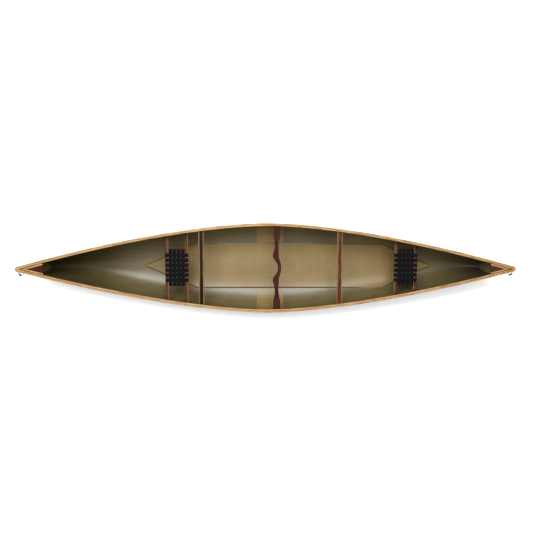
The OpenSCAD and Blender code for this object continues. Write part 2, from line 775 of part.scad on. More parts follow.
// The cross rails have a pale strip along the edge that faces the middle of the boat
module seat_rail(x, top, spots) {
    half = seat_rail_width / 2;
    color(walnut)
    if (x > 0)
        rail_strip(x, top, spots, half, seat_edge_width - half);
    else
        rail_strip(x, top, spots, half - seat_edge_width, -half);
}
module seat_rail_edges(x, top, spots) {
    half = seat_rail_width / 2;
    color(ash)
    for (s = [1, -1])
        if (x > 0)
            rail_strip(x + s * seat_rail_gap / 2, top, spots, seat_edge_width - half, -half);
        else
            rail_strip(x + s * seat_rail_gap / 2, top, spots, half, half - seat_edge_width);
}
module seat_stretchers(x, top) {
    length = seat_rail_gap - seat_rail_width;
    color(walnut)
    for (s = [1, -1])
        translate([x - length / 2, s * stretcher_gap / 2 - seat_rail_width / 2, top - seat_rail_thickness])
            cube([length, seat_rail_width, seat_rail_thickness]);
}
// Outline of a strap over two bars: a flat run, down the outer faces and tacked underneath
module strap_outline(half, low, high) {
    t = web_thickness;
    tail = 24;
    polygon([
        [-half - t, high + t], [half + t, high + t], [half + t, low - t], [half - tail, low - t],
        [half - tail, low], [half, low], [half, high], [-half, high],
        [-half, low], [tail - half, low], [tail - half, low - t], [-half - t, low - t]
    ]);
}
// Straps each way, the room left between an athwart strap and a rail, and the
// spacing that spreads the athwart straps over the gap between the rails
long_straps = 6;
cross_straps = 4;
strap_margin = 1.5;
cross_strap_pitch = (seat_rail_gap - seat_rail_width - web_width - 2 * strap_margin) / (cross_straps - 1);
module seat_long_straps(x, top) {
    half = (seat_rail_gap + seat_rail_width) / 2;
    color(webbing)
    for (k = [0 : long_straps - 1])
        translate([x, (k - (long_straps - 1) / 2) * long_strap_pitch + web_width / 2, top])
            rotate([90, 0, 0])
                linear_extrude(height = web_width)
                    strap_outline(half, -seat_rail_thickness, 0);
}
module seat_cross_straps(x, top) {
    half = (stretcher_gap + seat_rail_width) / 2;
    color(webbing)
    for (k = [0 : cross_straps - 1])
        translate([x + (k - (cross_straps - 1) / 2) * cross_strap_pitch - web_width / 2, 0, top])
            rotate([90, 0, 90])
                linear_extrude(height = web_width)
                    strap_outline(half, -seat_rail_thickness, web_thickness + hardware_gap);
}
// A board on edge under the port inwale, with a foot on each cross rail and an arch between
module seat_hanger(x, top, spots) {
    foot = 2 * seat_rail_width / 3;
    inner_foot = seat_rail_gap / 2 - foot;
    outer_foot = seat_rail_gap / 2 + seat_rail_width / 2;
    web = 18;
    arch_steps = 10;
    arch = [for (i = [0 : arch_steps])
        let (a = 180 * i / arch_steps)
        [x - inner_foot * cos(a), pow(sin(a), 0.6)]];
    spots_along = concat([[x - outer_foot, 0]], arch, [[x + outer_foot, 0]]);
    color(walnut)
    difference() {
        loft([for (s = spots_along)
            let (
                high = sheer_at(s.x) - rail_height - glue,
                low = blend(top, high - web, s.y),
                out_high = inner_at(s.x) - glue,
                out_low = min(out_high, inner_half_width(s.x, low) - glue)
            )
            [[s.x, out_high, high], [s.x, out_low, low],
             [s.x, out_low - hanger_thickness, low], [s.x, out_high - hanger_thickness, high]]]);
        bolt_holes(spots, centre_depth, 4 * centre_depth);
    }
}

// ---- Line tubes and grab loops ----

function tube_x(end) = end * (half_length - line_tube_inset);
function tube_z(end) = sheer_at(tube_x(end)) - line_tube_drop;
line_tube_length = 2 * inner_half_width(half_length - line_tube_inset, tube_z(1)) + 2 * skin + 4;
module line_tube_place(end) {
    translate([tube_x(end), 0, tube_z(end)])
        rotate([90, 0, 0])
            children();
}
module line_tube(end) {
    color(tube_plastic)
    line_tube_place(end)
        difference() {
            cylinder(r = line_tube_radius, h = line_tube_length, center = true, $fn = 48);
            cylinder(r = line_tube_bore, h = line_tube_length + 2, center = true, $fn = 48);
        }
}

// A round tube swept along a route, its rings carried round the bends without twist
function unit(v) = v / norm(v);
function direction(route, i) = unit(route[min(i + 1, len(route) - 1)] - route[max(i - 1, 0)]);
function side_vectors(route, i, last) =
    i == len(route) ? []
    : let (d = direction(route, i), v = unit(last - (last * d) * d))
        concat([v], side_vectors(route, i + 1, v));
module swept_tube(route, r, sides) {
    across_route = side_vectors(route, 0, [0, 0, 1]);
    loft([for (i = [0 : len(route) - 1])
        let (d = direction(route, i), u = across_route[i], v = cross(d, u))
        [for (k = [0 : sides - 1])
            let (a = -360 * k / sides)
            route[i] + r * (cos(a) * u + sin(a) * v)]]);
}
stern_loop_route = [for (i = [len(bow_loop_route) - 1 : -1 : 0])
    let (p = bow_loop_route[i])
    [-p.x, p.y, p.z - stern_loop_drop]];
module grab_loop(route) {
    color(rope)
    swept_tube(route, rope_radius, rope_sides);
}
module loop_knot(route, i) {
    d = direction(route, i);
    color(rope)
    hull()
        for (s = [1, -1])
            translate(route[i] + s * (knot_length / 2 - knot_radius / 2) * d)
                sphere(r = knot_radius, $fn = 20);
}

hull_end(6, 1);  // hull_bow_end
hull_part(5);  // hull_bow_quarter
hull_part(4);  // hull_forward
hull_part(3);  // hull_middle
hull_part(2);  // hull_rear
hull_part(1);  // hull_stern_quarter
hull_end(0, -1);  // hull_stern_end
floor_core();
side_band();  // side_band_port
mirror([0, 1, 0]) side_band();  // side_band_starboard
bulkhead(bow_bulkhead_at, bow_bulkhead_at + bulkhead_thickness);  // bow_bulkhead
bulkhead(-stern_bulkhead_at - bulkhead_thickness, -stern_bulkhead_at);  // stern_bulkhead
flotation(bow_bulkhead_at + bulkhead_thickness + glue, tube_x(1) - 2 * line_tube_radius);  // bow_foam
flotation(tube_x(-1) + 2 * line_tube_radius, -stern_bulkhead_at - bulkhead_thickness - glue);  // stern_foam
inwale();  // inwale_port
mirror([0, 1, 0]) inwale();  // inwale_starboard
outwale();  // outwale_port
mirror([0, 1, 0]) outwale();  // outwale_starboard
both_sides() gunwale_screws();
lock_nuts();
deck_panel(bow_deck_edge, 1);  // bow_deck_panel
deck_strips(bow_deck_edge, 1);  // bow_deck_strips
deck_pinstripes(bow_deck_edge, 1);  // bow_deck_pinstripes
deck_panel(stern_deck_edge, -1);  // stern_deck_panel
deck_strips(stern_deck_edge, -1);  // stern_deck_strips
deck_pinstripes(stern_deck_edge, -1);  // stern_deck_pinstripes
thwart_core(bow_thwart_at, bow_thwart_spots, dark_walnut);  // bow_thwart_core
thwart_edges(bow_thwart_at, bow_thwart_spots);  // bow_thwart_edges
bolts(bow_thwart_spots, thwart_low(bow_thwart_at));  // bow_thwart_bolts
thwart_core(-stern_thwart_at, stern_thwart_spots, walnut);  // stern_thwart_core
thwart_edges(-stern_thwart_at, stern_thwart_spots);  // stern_thwart_edges
bolts(stern_thwart_spots, thwart_low(-stern_thwart_at));  // stern_thwart_bolts
yoke();
bolts(yoke_spots, yoke_low);  // yoke_bolts
seat_rail(bow_seat_at + seat_rail_gap / 2, bow_seat_top, bow_seat_spots);  // bow_seat_front_rail
seat_rail(bow_seat_at - seat_rail_gap / 2, bow_seat_top, bow_seat_spots);  // bow_seat_rear_rail
seat_rail_edges(bow_seat_at, bow_seat_top, bow_seat_spots);  // bow_seat_rail_edges
seat_stretchers(bow_seat_at, bow_seat_top);  // bow_seat_stretchers
seat_long_straps(bow_seat_at, bow_seat_top);  // bow_seat_long_straps
seat_cross_straps(bow_seat_at, bow_seat_top);  // bow_seat_cross_straps
seat_hanger(bow_seat_at, bow_seat_top, bow_seat_spots);  // bow_seat_hanger_port
mirror([0, 1, 0]) seat_hanger(bow_seat_at, bow_seat_top, bow_seat_spots);  // bow_seat_hanger_starboard
bolts(bow_seat_spots, bow_seat_top - seat_rail_thickness);  // bow_seat_bolts
seat_rail(-stern_seat_at + seat_rail_gap / 2, stern_seat_top, stern_seat_spots);  // stern_seat_front_rail
seat_rail(-stern_seat_at - seat_rail_gap / 2, stern_seat_top, stern_seat_spots);  // stern_seat_rear_rail
seat_rail_edges(-stern_seat_at, stern_seat_top, stern_seat_spots);  // stern_seat_rail_edges
seat_stretchers(-stern_seat_at, stern_seat_top);  // stern_seat_stretchers
seat_long_straps(-stern_seat_at, stern_seat_top);  // stern_seat_long_straps
seat_cross_straps(-stern_seat_at, stern_seat_top);  // stern_seat_cross_straps
seat_hanger(-stern_seat_at, stern_seat_top, stern_seat_spots);  // stern_seat_hanger_port
mirror([0, 1, 0]) seat_hanger(-stern_seat_at, stern_seat_top, stern_seat_spots);  // stern_seat_hanger_starboard
bolts(stern_seat_spots, stern_seat_top - seat_rail_thickness);  // stern_seat_bolts
line_tube(1);  // bow_line_tube
line_tube(-1);  // stern_line_tube
grab_loop(bow_loop_route);  // bow_grab_loop
loop_knot(bow_loop_route, knot_at);  // bow_loop_knot
grab_loop(stern_loop_route);  // stern_grab_loop
loop_knot(stern_loop_route, len(stern_loop_route) - 1 - knot_at);  // stern_loop_knot
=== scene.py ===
import math

import bpy
import numpy as np
from mathutils import Matrix, Vector


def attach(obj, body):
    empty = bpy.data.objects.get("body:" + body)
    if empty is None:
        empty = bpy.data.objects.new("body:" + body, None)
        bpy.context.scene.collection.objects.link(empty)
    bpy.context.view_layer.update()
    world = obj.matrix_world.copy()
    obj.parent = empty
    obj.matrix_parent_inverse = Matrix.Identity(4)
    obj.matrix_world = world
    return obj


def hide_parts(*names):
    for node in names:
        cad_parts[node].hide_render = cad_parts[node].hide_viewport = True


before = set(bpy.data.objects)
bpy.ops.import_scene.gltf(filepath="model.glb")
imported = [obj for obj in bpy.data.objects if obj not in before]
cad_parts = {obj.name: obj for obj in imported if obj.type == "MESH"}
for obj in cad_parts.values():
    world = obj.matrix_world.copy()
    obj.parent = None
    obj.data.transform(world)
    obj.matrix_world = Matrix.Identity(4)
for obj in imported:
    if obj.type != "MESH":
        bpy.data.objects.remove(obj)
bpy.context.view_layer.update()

# ---------------------------------------------------------------- studio
# A pale matt sheet under the boat and two soft boxes over it. The long key box hangs over
# the starboard side, so that the port bilge shines and the starboard wall stays dark.


def linear(code):
    """An sRGB colour such as 'd8b687' as linear red, green, blue and alpha."""
    parts = [int(code[k : k + 2], 16) / 255 for k in (0, 2, 4)]
    return [p / 12.92 if p < 0.04045 else ((p + 0.055) / 1.055) ** 2.4 for p in parts] + [1.0]


def add(tree, kind, inputs=None, stops=None, **settings):
    """Adds a node. Settings are its own properties, inputs are values or sockets to link, and stops
    fill a colour ramp."""
    made = tree.nodes.new(kind)
    for key, value in settings.items():
        setattr(made, key, value)
    for key, value in (inputs or {}).items():
        if isinstance(value, bpy.types.NodeSocket):
            tree.links.new(value, made.inputs[key])
        else:
            made.inputs[key].default_value = value
    if stops:
        ramp = made.color_ramp.elements
        while len(ramp) < len(stops):
            ramp.new(0.5)
        for element, (place, code) in zip(ramp, stops):
            element.position = place
            element.color = linear(code)
    return made


def finish(name, **sockets):
    """An empty finish: its material, node tree and surface shader. Uniform numbers go on the shader's
    own sockets."""
    made = bpy.data.materials.new(name)
    made.use_nodes = True
    surface = made.node_tree.nodes["Principled BSDF"]
    for key, value in sockets.items():
        surface.inputs[key.replace("_", " ")].default_value = value
    return made, made.node_tree, surface


# Seamless studio paper: flat, pale, with no sheen.
paper, tree, surface = finish(
    "seamless_paper", Base_Color=linear("fafaf9"), Roughness=0.9, Specular_IOR_Level=0.0
)
floor_mesh = bpy.data.meshes.new("studio_floor")
FLOOR_HALF, FLOOR_DROP = 20, 0.0005
floor_mesh.from_pydata(
    [(FLOOR_HALF * x, FLOOR_HALF * y, -FLOOR_DROP) for x, y in ((-1, -1), (1, -1), (1, 1), (-1, 1))],
    [], [(0, 1, 2, 3)],
)
floor_mesh.materials.append(paper)
studio_floor = bpy.data.objects.new("studio_floor", floor_mesh)
bpy.context.collection.objects.link(studio_floor)

# The camera looks straight down but for a few degrees of tilt and turn.
CAMERA_TILT, CAMERA_PAN, CAMERA_LENS, CAMERA_AT = 4.45, 0.92, 28.63, (0.0899, -0.3576, 4.7443)
tilt, pan = math.radians(CAMERA_TILT), math.radians(CAMERA_PAN)
right = Vector((-math.cos(pan), -math.sin(tilt) * math.sin(pan), math.cos(tilt) * math.sin(pan)))
up = Vector((0, -math.cos(tilt), -math.sin(tilt)))
back = right.cross(up)
camera = bpy.data.objects.new("camera", bpy.data.cameras.new("camera"))
camera.data.sensor_width = 36
camera.data.lens = CAMERA_LENS
camera.data.clip_end = 100
camera.matrix_world = Matrix(
    (
        (right.x, up.x, back.x, CAMERA_AT[0]),
        (right.y, up.y, back.y, CAMERA_AT[1]),
        (right.z, up.z, back.z, CAMERA_AT[2]),
        (0, 0, 0, 1),
    )
)
bpy.context.collection.objects.link(camera)
bpy.context.scene.camera = camera

world = bpy.data.worlds.new("studio_air")
world.use_nodes = True
world.node_tree.nodes["Background"].inputs["Color"].default_value = linear("ffffff")
world.node_tree.nodes["Background"].inputs["Strength"].default_value = 0.62
bpy.context.scene.world = world
bpy.context.scene.view_settings.view_transform = "Standard"

for name, place, aim, size, power in (
    ("key_box", (0.7, -2.8, 5.5), (0.2, 0.1, 0), (6.0, 3.0), 640),
    ("fill_box", (0.0, -0.4, 6.2), (0, 0, 0), (7.0, 2.5), 230),
):
    box = bpy.data.objects.new(name, bpy.data.lights.new(name, "AREA"))
    box.data.shape = "RECTANGLE"
    box.data.size, box.data.size_y = size
    box.data.energy = power
    box.matrix_world = (
        Matrix.Translation(place)
        @ (Vector(aim) - Vector(place)).to_track_quat("-Z", "Y").to_matrix().to_4x4()
    )
    box.visible_glossy = name == "key_box"
    bpy.context.collection.objects.link(box)

# ---------------------------------------------------------------- grab loops
# A short length of 8 mm braided polyester rope at each end. It goes through a plastic tube
# in the stem, round the front of the boat, and is tied to itself with a wrapped knot.
ROPE_RADIUS = 0.004
KNOT_TURNS = 3
ROUTE_STEPS = 8
STERN_LOOP_DROP = 0.033


def place_piece(name, points, faces, uv, material, sharp=35):
    """A smooth-shaded mesh object at the origin, with edges over the sharp angle kept crisp."""
    mesh = bpy.data.meshes.new(name)
    mesh.from_pydata(points.tolist(), [], faces)
    mesh.uv_layers.new(name="cloth_and_grain").data.foreach_set(
        "uv", np.asarray(uv, dtype=np.float32).ravel()
    )
    mesh.materials.append(material)
    mesh.shade_smooth()
    mesh.set_sharp_from_angle(angle=math.radians(sharp))
    made = bpy.data.objects.new(name, mesh)
    bpy.context.collection.objects.link(made)
    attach(made, "root")
    return made


def stack(rings, start=0.0, turns=False):
    """Points, faces and UVs of a closed solid through n rings of m points. Quads join each ring to the
    next and one face closes each end, all turned outwards by the sign of the volume. u is the distance
    along the stack, and v the distance round the ring, or its share of a turn."""
    n, m = rings.shape[:2]
    i, j = np.meshgrid(np.arange(n - 1), np.arange(m), indexing="ij")
    k = (j + 1) % m
    quads = np.stack([i * m + j, (i + 1) * m + j, (i + 1) * m + k, i * m + k], -1).reshape(-1, 4)
    steps = np.linalg.norm(np.diff(rings.mean(1), axis=0), axis=1)
    along = start + np.concatenate([[0], np.cumsum(steps)])
    wrapped = np.concatenate([rings, rings[:, :1]], 1)
    around = np.concatenate(
        [np.zeros((n, 1)), np.cumsum(np.linalg.norm(np.diff(wrapped, axis=1), axis=2), 1)], 1
    )
    if turns:
        around = around / np.maximum(around[:, -1:], 1e-9)
    grid = np.stack([np.repeat(along[:, None], m + 1, 1), around], -1)
    corners = np.stack([grid[i, j], grid[i + 1, j], grid[i + 1, j + 1], grid[i, j + 1]], 2).reshape(-1, 4, 2)
    points = rings.reshape(-1, 3)
    flat = np.argsort(np.ptp(rings[0], axis=0) + np.ptp(rings[-1], axis=0))[1:]
    caps = [list(range(m)), list(range(n * m - 1, (n - 1) * m - 1, -1))]
    corner = points[quads]
    volume = (np.cross(corner[:, 0], corner[:, 1]) * corner[:, 2]).sum() + (
        np.cross(corner[:, 0], corner[:, 2]) * corner[:, 3]
    ).sum()
    for cap in caps:
        fan = points[cap]
        volume += (np.cross(fan[:1], fan[1:-1]) * fan[2:]).sum()
    faces = quads.tolist() + caps
    uv = [corners.reshape(-1, 2)] + [points[cap][:, flat] + start for cap in caps]
    if volume < 0:
        faces = [face[::-1] for face in faces]
        uv = [corners[:, ::-1].reshape(-1, 2)] + [part[::-1] for part in uv[1:]]
    return points, faces, np.concatenate(uv)


def smooth_route(points, per_span):
    """A Catmull-Rom curve through the points: each span is the cubic whose end slopes are half the step
    between its neighbours."""
    p = np.concatenate([2 * points[:1] - points[1:2], points, 2 * points[-1:] - points[-2:-1]])
    t = np.linspace(0, 1, per_span, endpoint=False)[None, :, None]
    a, b, c, d = (p[k : len(p) - 3 + k, None] for k in range(4))
    curve = 0.5 * (2 * b + (c - a) * t + (2 * a - 5 * b + 4 * c - d) * t**2 + (3 * b - a - 3 * c + d) * t**3)
    return np.concatenate([curve.reshape(-1, 3), points[-1:]])


def rope_rings(route, radius, sides=20):
    """Circles square to a route. Each circle's first direction is the last one's, less its part along
    the route, so the tube doesn't twist."""
    way = np.gradient(route, axis=0)
    way /= np.linalg.norm(way, axis=1)[:, None]
    first = np.empty_like(route)
    last = np.array([0.0, 0.0, 1.0])
    for k, d in enumerate(way):
        last = last - last.dot(d) * d
        last = last / np.linalg.norm(last)
        first[k] = last
    second = np.cross(way, first)
    a = np.linspace(0, 2 * np.pi, sides, endpoint=False)[None, :, None]
    return route[:, None] + radius * (np.cos(a) * first[:, None] + np.sin(a) * second[:, None])


# Braided polyester: dull black, each strand a small raised lozenge. Real strands are
# 1.5 mm wide; they are drawn 3 mm wide, so that they show.
rope_braid, tree, surface = finish("braided_polyester_rope", Roughness=0.75, Specular_IOR_Level=0.3)
cloth = add(tree, "ShaderNodeUVMap", uv_map="cloth_and_grain")
split = add(tree, "ShaderNodeSeparateXYZ", {"Vector": cloth.outputs["UV"]})
lay = add(tree, "ShaderNodeMath", {0: split.outputs["X"], 1: 2 * math.pi / 0.012}, operation="MULTIPLY")
turn = add(tree, "ShaderNodeMath", {0: split.outputs["Y"], 1: 2 * math.pi * 4}, operation="MULTIPLY")
right_hand = add(tree, "ShaderNodeMath", {0: lay.outputs[0], 1: turn.outputs[0]}, operation="ADD")
left_hand = add(tree, "ShaderNodeMath", {0: lay.outputs[0], 1: turn.outputs[0]}, operation="SUBTRACT")
one = add(tree, "ShaderNodeMath", {0: right_hand.outputs[0]}, operation="SINE")
two = add(tree, "ShaderNodeMath", {0: left_hand.outputs[0]}, operation="SINE")
strand = add(tree, "ShaderNodeMath", {0: one.outputs[0], 1: two.outputs[0]}, operation="MULTIPLY")
shade = add(tree, "ShaderNodeMapRange", {"Value": strand.outputs[0], "From Min": -1.0, "From Max": 1.0})
tone = add(tree, "ShaderNodeValToRGB", {"Fac": shade.outputs[0]}, stops=[(0.15, "141313"), (0.85, "3a3636")])
relief = add(tree, "ShaderNodeBump", {"Height": strand.outputs[0], "Distance": 0.0006, "Strength": 0.9})
tree.links.new(tone.outputs["Color"], surface.inputs["Base Color"])
tree.links.new(relief.outputs["Normal"], surface.inputs["Normal"])

# Black extruded tube: smooth, slightly shiny plastic with a faint surface grain.
tube_plastic, tree, surface = finish("extruded_black_pvc", Base_Color=linear("1a1a1a"), Roughness=0.35)
lines = add(
    tree, "ShaderNodeTexNoise",
    {"Vector": add(tree, "ShaderNodeTexCoord").outputs["Object"], "Scale": 400.0},
)
relief = add(tree, "ShaderNodeBump", {"Height": lines.outputs["Fac"], "Distance": 0.0002, "Strength": 0.3})
tree.links.new(relief.outputs["Normal"], surface.inputs["Normal"])

bow_route = 0.001 * np.array(
    [
        (2462, -1, 459), (2462, -25, 459), (2465, -30, 460), (2473, -30.5, 462), (2483, -27, 465),
        (2493, -23, 468), (2501, -17, 471), (2507, -8, 474), (2509, 1, 476), (2508, 11, 479),
        (2504, 24, 484), (2498, 37, 489), (2491, 50, 492), (2482, 60, 492), (2473, 64, 488),
        (2466, 60, 481), (2463, 51, 473), (2462, 43, 466), (2462, 34, 461), (2462, 25, 459), (2462, 1, 459),
    ]
)
stern_route = bow_route[::-1] * [-1, 1, 1] - [0, 0, STERN_LOOP_DROP]
for end, route, knot_at in (("bow", bow_route, 13), ("stern", stern_route, 7)):
    path = smooth_route(route, ROUTE_STEPS)
    loop = place_piece(f"{end}_rope_loop", *stack(rope_rings(path, ROPE_RADIUS), turns=True), rope_braid, 60)
    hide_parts(f"{end}_grab_loop")
    # The knot is three wraps of the same rope round the loop, with its tail tucked under.
    centre = knot_at * ROUTE_STEPS
    core = path[centre - 2 * ROUTE_STEPS : centre + 2 * ROUTE_STEPS + 1]
    share = np.linspace(0, 1, 120)
    at = np.interp(share, [0, 0.04, 0.96, 1], [0.14, 0.2, 0.8, 0.86]) * (len(core) - 1)
    line = np.stack([np.interp(at, np.arange(len(core)), core[:, k]) for k in range(3)], 1)
    way = np.gradient(line, axis=0)
    way /= np.linalg.norm(way, axis=1)[:, None]
    out = np.cross(way, [0.3, 0.9, 0.3])
    out /= np.linalg.norm(out, axis=1)[:, None]
    over = np.cross(way, out)
    angle = (2 * np.pi * KNOT_TURNS * share)[:, None]
    reach = (2 * ROPE_RADIUS * np.interp(share, [0, 0.08, 0.92, 1], [0.6, 0.93, 0.93, 0.6]))[:, None]
    wraps = line + reach * (np.cos(angle) * out + np.sin(angle) * over)
    knot = place_piece(
        f"{end}_wrapped_knot", *stack(rope_rings(wraps, ROPE_RADIUS, 14), turns=True), rope_braid, 60
    )
    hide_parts(f"{end}_loop_knot")
    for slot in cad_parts[f"{end}_line_tube"].material_slots:
        slot.material = tube_plastic

# ---------------------------------------------------------------- hull
# The hull is laid up in one mould: a green gel coat outside, then layers of aramid cloth
# wetted out with clear resin. Inside it has no paint, so the cloth shows olive and glossy.
LENGTH, BEAM, DEPTH = 5.03, 0.931, 0.37
BOW_HEIGHT, STERN_HEIGHT = 0.53, 0.495
ROCKER, SKIN, STEM_RADIUS, STEM_LENGTH, TUMBLEHOME = 0.04, 0.003, 0.015, 0.42, 0.008
PLAN_POWER, PLAN_END, PLAN_ROUND, SHEER_POWER, ROCKER_POWER = 1.63, 0.007, 0.06, 2.6, 3.5
MIDDLE_BILGE, END_BILGE, MIDDLE_SIDE, END_SIDE = 3.3, 1.8, 3.0, 1.3
RAIL_HEIGHT, INWALE_WIDTH, OUTWALE_WIDTH = 0.022, 0.013, 0.015
HALF = LENGTH / 2
HALF_BEAM = BEAM / 2 - OUTWALE_WIDTH
END_SLOPE = math.atan((HALF_BEAM - PLAN_END) * PLAN_POWER / HALF)
HULL_TIP = HALF + PLAN_END / math.tan(END_SLOPE) - STEM_RADIUS * (1 / math.sin(END_SLOPE) - 1)
ROUND_FROM = HULL_TIP - STEM_RADIUS * (1 - math.sin(END_SLOPE))
STEM_FROM = HULL_TIP - STEM_LENGTH
BILGE_STEPS, GIRTH_POWER = 44, 1.4


def plan(x):
    """Half-breadth of the skin: the share of the half-length, softened near the middle, to the plan
    power, times the half-beam's excess over what is left at the ends, taken off the half-beam."""
    low = PLAN_ROUND**PLAN_POWER
    span = (1 + PLAN_ROUND**2) ** (PLAN_POWER / 2) - low
    share = ((x / HALF) ** 2 + PLAN_ROUND**2) ** (PLAN_POWER / 2)
    return HALF_BEAM - (HALF_BEAM - PLAN_END) * (share - low) / span


def half_breadth(x):
    """The plan curve, closed at each stem by a circle of the stem radius that touches both sides."""
    a = np.abs(x)
    circle = np.sqrt(np.maximum(0, STEM_RADIUS**2 - (a - HULL_TIP + STEM_RADIUS) ** 2))
    return np.where(a < ROUND_FROM, plan(a), circle)


def across(thick, x):
    """A thickness square to the side, measured straight across the boat: divided by the cosine of the
    side's angle."""
    a = np.minimum(np.abs(x), ROUND_FROM - 0.001)
    slope = (plan(a - 0.001) - plan(a + 0.001)) / 0.002
    return thick * np.sqrt(1 + slope**2)


def sheer(x):
    """Height of the gunwale top: the depth at the middle, rising with the sheer power of the share of
    the half-length."""
    rise = np.where(x > 0, BOW_HEIGHT, STERN_HEIGHT) - DEPTH
    return DEPTH + rise * (np.abs(x) / HALF) ** SHEER_POWER


def keel(x):
    """Height of the bottom line: the rocker times the rocker power of the share of the half-length,
    then a quarter ellipse up each stem."""
    low = ROCKER * (np.abs(x) / HALF) ** ROCKER_POWER
    t = np.clip((np.abs(x) - STEM_FROM) / STEM_LENGTH, 0, 1)
    return low + (sheer(x) - RAIL_HEIGHT - low) * (1 - np.sqrt(1 - t**2))


def section(x, angle, inset=0.0):
    """Half-breadth and height on the skin. The section is a superellipse of powers p and q that fall
    towards the ends; the angle goes from 0 at the keel to a right angle at the foot of the gunwale, and
    a squared sine adds the swell."""
    u = np.abs(x) / HALF
    p = MIDDLE_BILGE + (END_BILGE - MIDDLE_BILGE) * u**2
    q = MIDDLE_SIDE + (END_SIDE - MIDDLE_SIDE) * u**4
    low = keel(x) + inset
    high = sheer(x) - RAIL_HEIGHT
    half = half_breadth(x) - across(inset, x)
    rise = 1 - np.maximum(np.cos(angle), 0) ** (2 / q)
    wide = half * np.sin(angle) ** (2 / p) + TUMBLEHOME * (1 - u**4) * np.sin(np.pi * rise) ** 2
    return np.maximum(wide, 0), low + (high - low) * rise


def skin_rings(x, inset):
    """Open rings across the boat, one for each x, from the port gunwale top under the keel to the
    starboard one."""
    angle = np.pi / 2 * np.linspace(1, 0, BILGE_STEPS + 1) ** GIRTH_POWER
    wide, high = section(x[:, None], angle[None], inset)
    wide = np.concatenate([wide[:, :1], wide], 1)
    high = np.concatenate([sheer(x)[:, None], high], 1)
    wide = np.concatenate([wide, -wide[:, -2::-1]], 1)
    high = np.concatenate([high, high[:, -2::-1]], 1)
    return np.stack([np.repeat(x[:, None], wide.shape[1], 1), wide, high], -1)


# The hollow of the hull ends here in each stem, and the stem beyond is solid.
hollow_tip = 2.48691
stem_turn = np.linspace(0, np.pi / 2, 26)
stem_x = STEM_FROM + STEM_LENGTH * np.sin(stem_turn)
stem_x = stem_x[(stem_x < hollow_tip - 0.002) & (stem_x > STEM_FROM)]
round_x = HULL_TIP - STEM_RADIUS * (1 - np.sin(np.radians(np.arange(16.1, 82, 6))))
stem_x = np.unique(np.r_[stem_x, 2.46, 2.475, hollow_tip, round_x])
stations = np.concatenate([-stem_x[::-1], np.linspace(-STEM_FROM, STEM_FROM, 141), stem_x])
hollow = np.abs(stations) < hollow_tip + 1e-6
outside = skin_rings(stations, 0.0)
inside = skin_rings(stations[hollow], SKIN)
n, m = outside.shape[:2]
first, last = np.flatnonzero(hollow)[[0, -1]]
offset = n * m - first * m
i, j = (g.ravel() for g in np.meshgrid(np.arange(n - 1), np.arange(m - 1), indexing="ij"))
outer_faces = np.stack([i * m + j, i * m + j + 1, (i + 1) * m + j + 1, (i + 1) * m + j], -1)
kept = (i >= first) & (i < last)
inner_faces = outer_faces[kept][:, ::-1] + offset
i = np.arange(first, last)
port_rim = np.stack([i * m, (i + 1) * m, (i + 1) * m + offset, i * m + offset], -1)
star_rim = np.stack([i * m + offset, (i + 1) * m + offset, (i + 1) * m, i * m], -1) + m - 1
i = np.concatenate([np.arange(first - 1), np.arange(last + 1, n - 1)])
tip_tops = np.stack([i * m, (i + 1) * m, (i + 1) * m + m - 1, i * m + m - 1], -1)
steps = [
    [
        (last + 1) * m, (last + 1) * m + m - 1, last * m + m - 1, last * m + offset + m - 1,
        last * m + offset, last * m,
    ],
    [
        (first - 1) * m, first * m, first * m + offset, first * m + offset + m - 1, first * m + m - 1,
        (first - 1) * m + m - 1,
    ],
    list(range(last * m + offset + m - 1, last * m + offset - 1, -1)),
    list(range(first * m + offset, first * m + offset + m)),
]
faces = (
    outer_faces.tolist() + inner_faces.tolist() + port_rim.tolist()
    + star_rim.tolist() + tip_tops.tolist() + steps
)
faces = [face[::-1] for face in faces]
points = np.concatenate([outside.reshape(-1, 3), inside.reshape(-1, 3)])
girth = np.concatenate(
    [np.zeros((n, 1)), np.cumsum(np.linalg.norm(np.diff(outside[:, :, 1:], axis=1), axis=2), 1)], 1
)
girth -= girth[:, m // 2 : m // 2 + 1]
flat = np.concatenate(
    [
        np.stack([outside[:, :, 0], girth], -1).reshape(-1, 2),
        np.stack([outside[hollow][:, :, 0], girth[hollow]], -1).reshape(-1, 2),
    ]
)
uv = flat[np.concatenate([np.asarray(face) for face in faces])]

# Gel coat: pigmented polyester, smooth from the mould, with a soft gloss and the faintest
# orange peel. Dark green is one usual colour for the outside of such a hull.
gel_coat, tree, surface = finish(
    "polished_green_gel_coat", Roughness=0.3, Specular_IOR_Level=0.15, Coat_Weight=0.2, Coat_Roughness=0.1,
    Coat_IOR=1.3,
)
spot = add(tree, "ShaderNodeTexCoord")
cloud = add(tree, "ShaderNodeTexNoise", {"Vector": spot.outputs["Object"], "Scale": 3.0, "Detail": 3.0})
tone = add(
    tree, "ShaderNodeValToRGB", {"Fac": cloud.outputs["Fac"]}, stops=[(0.3, "14261b"), (0.7, "1a3022")]
)
peel = add(tree, "ShaderNodeTexNoise", {"Vector": spot.outputs["Object"], "Scale": 160.0, "Detail": 1.0})
relief = add(tree, "ShaderNodeBump", {"Height": peel.outputs["Fac"], "Distance": 0.0002, "Strength": 0.15})
tree.links.new(tone.outputs["Color"], surface.inputs["Base Color"])
tree.links.new(relief.outputs["Normal"], surface.inputs["Coat Normal"])


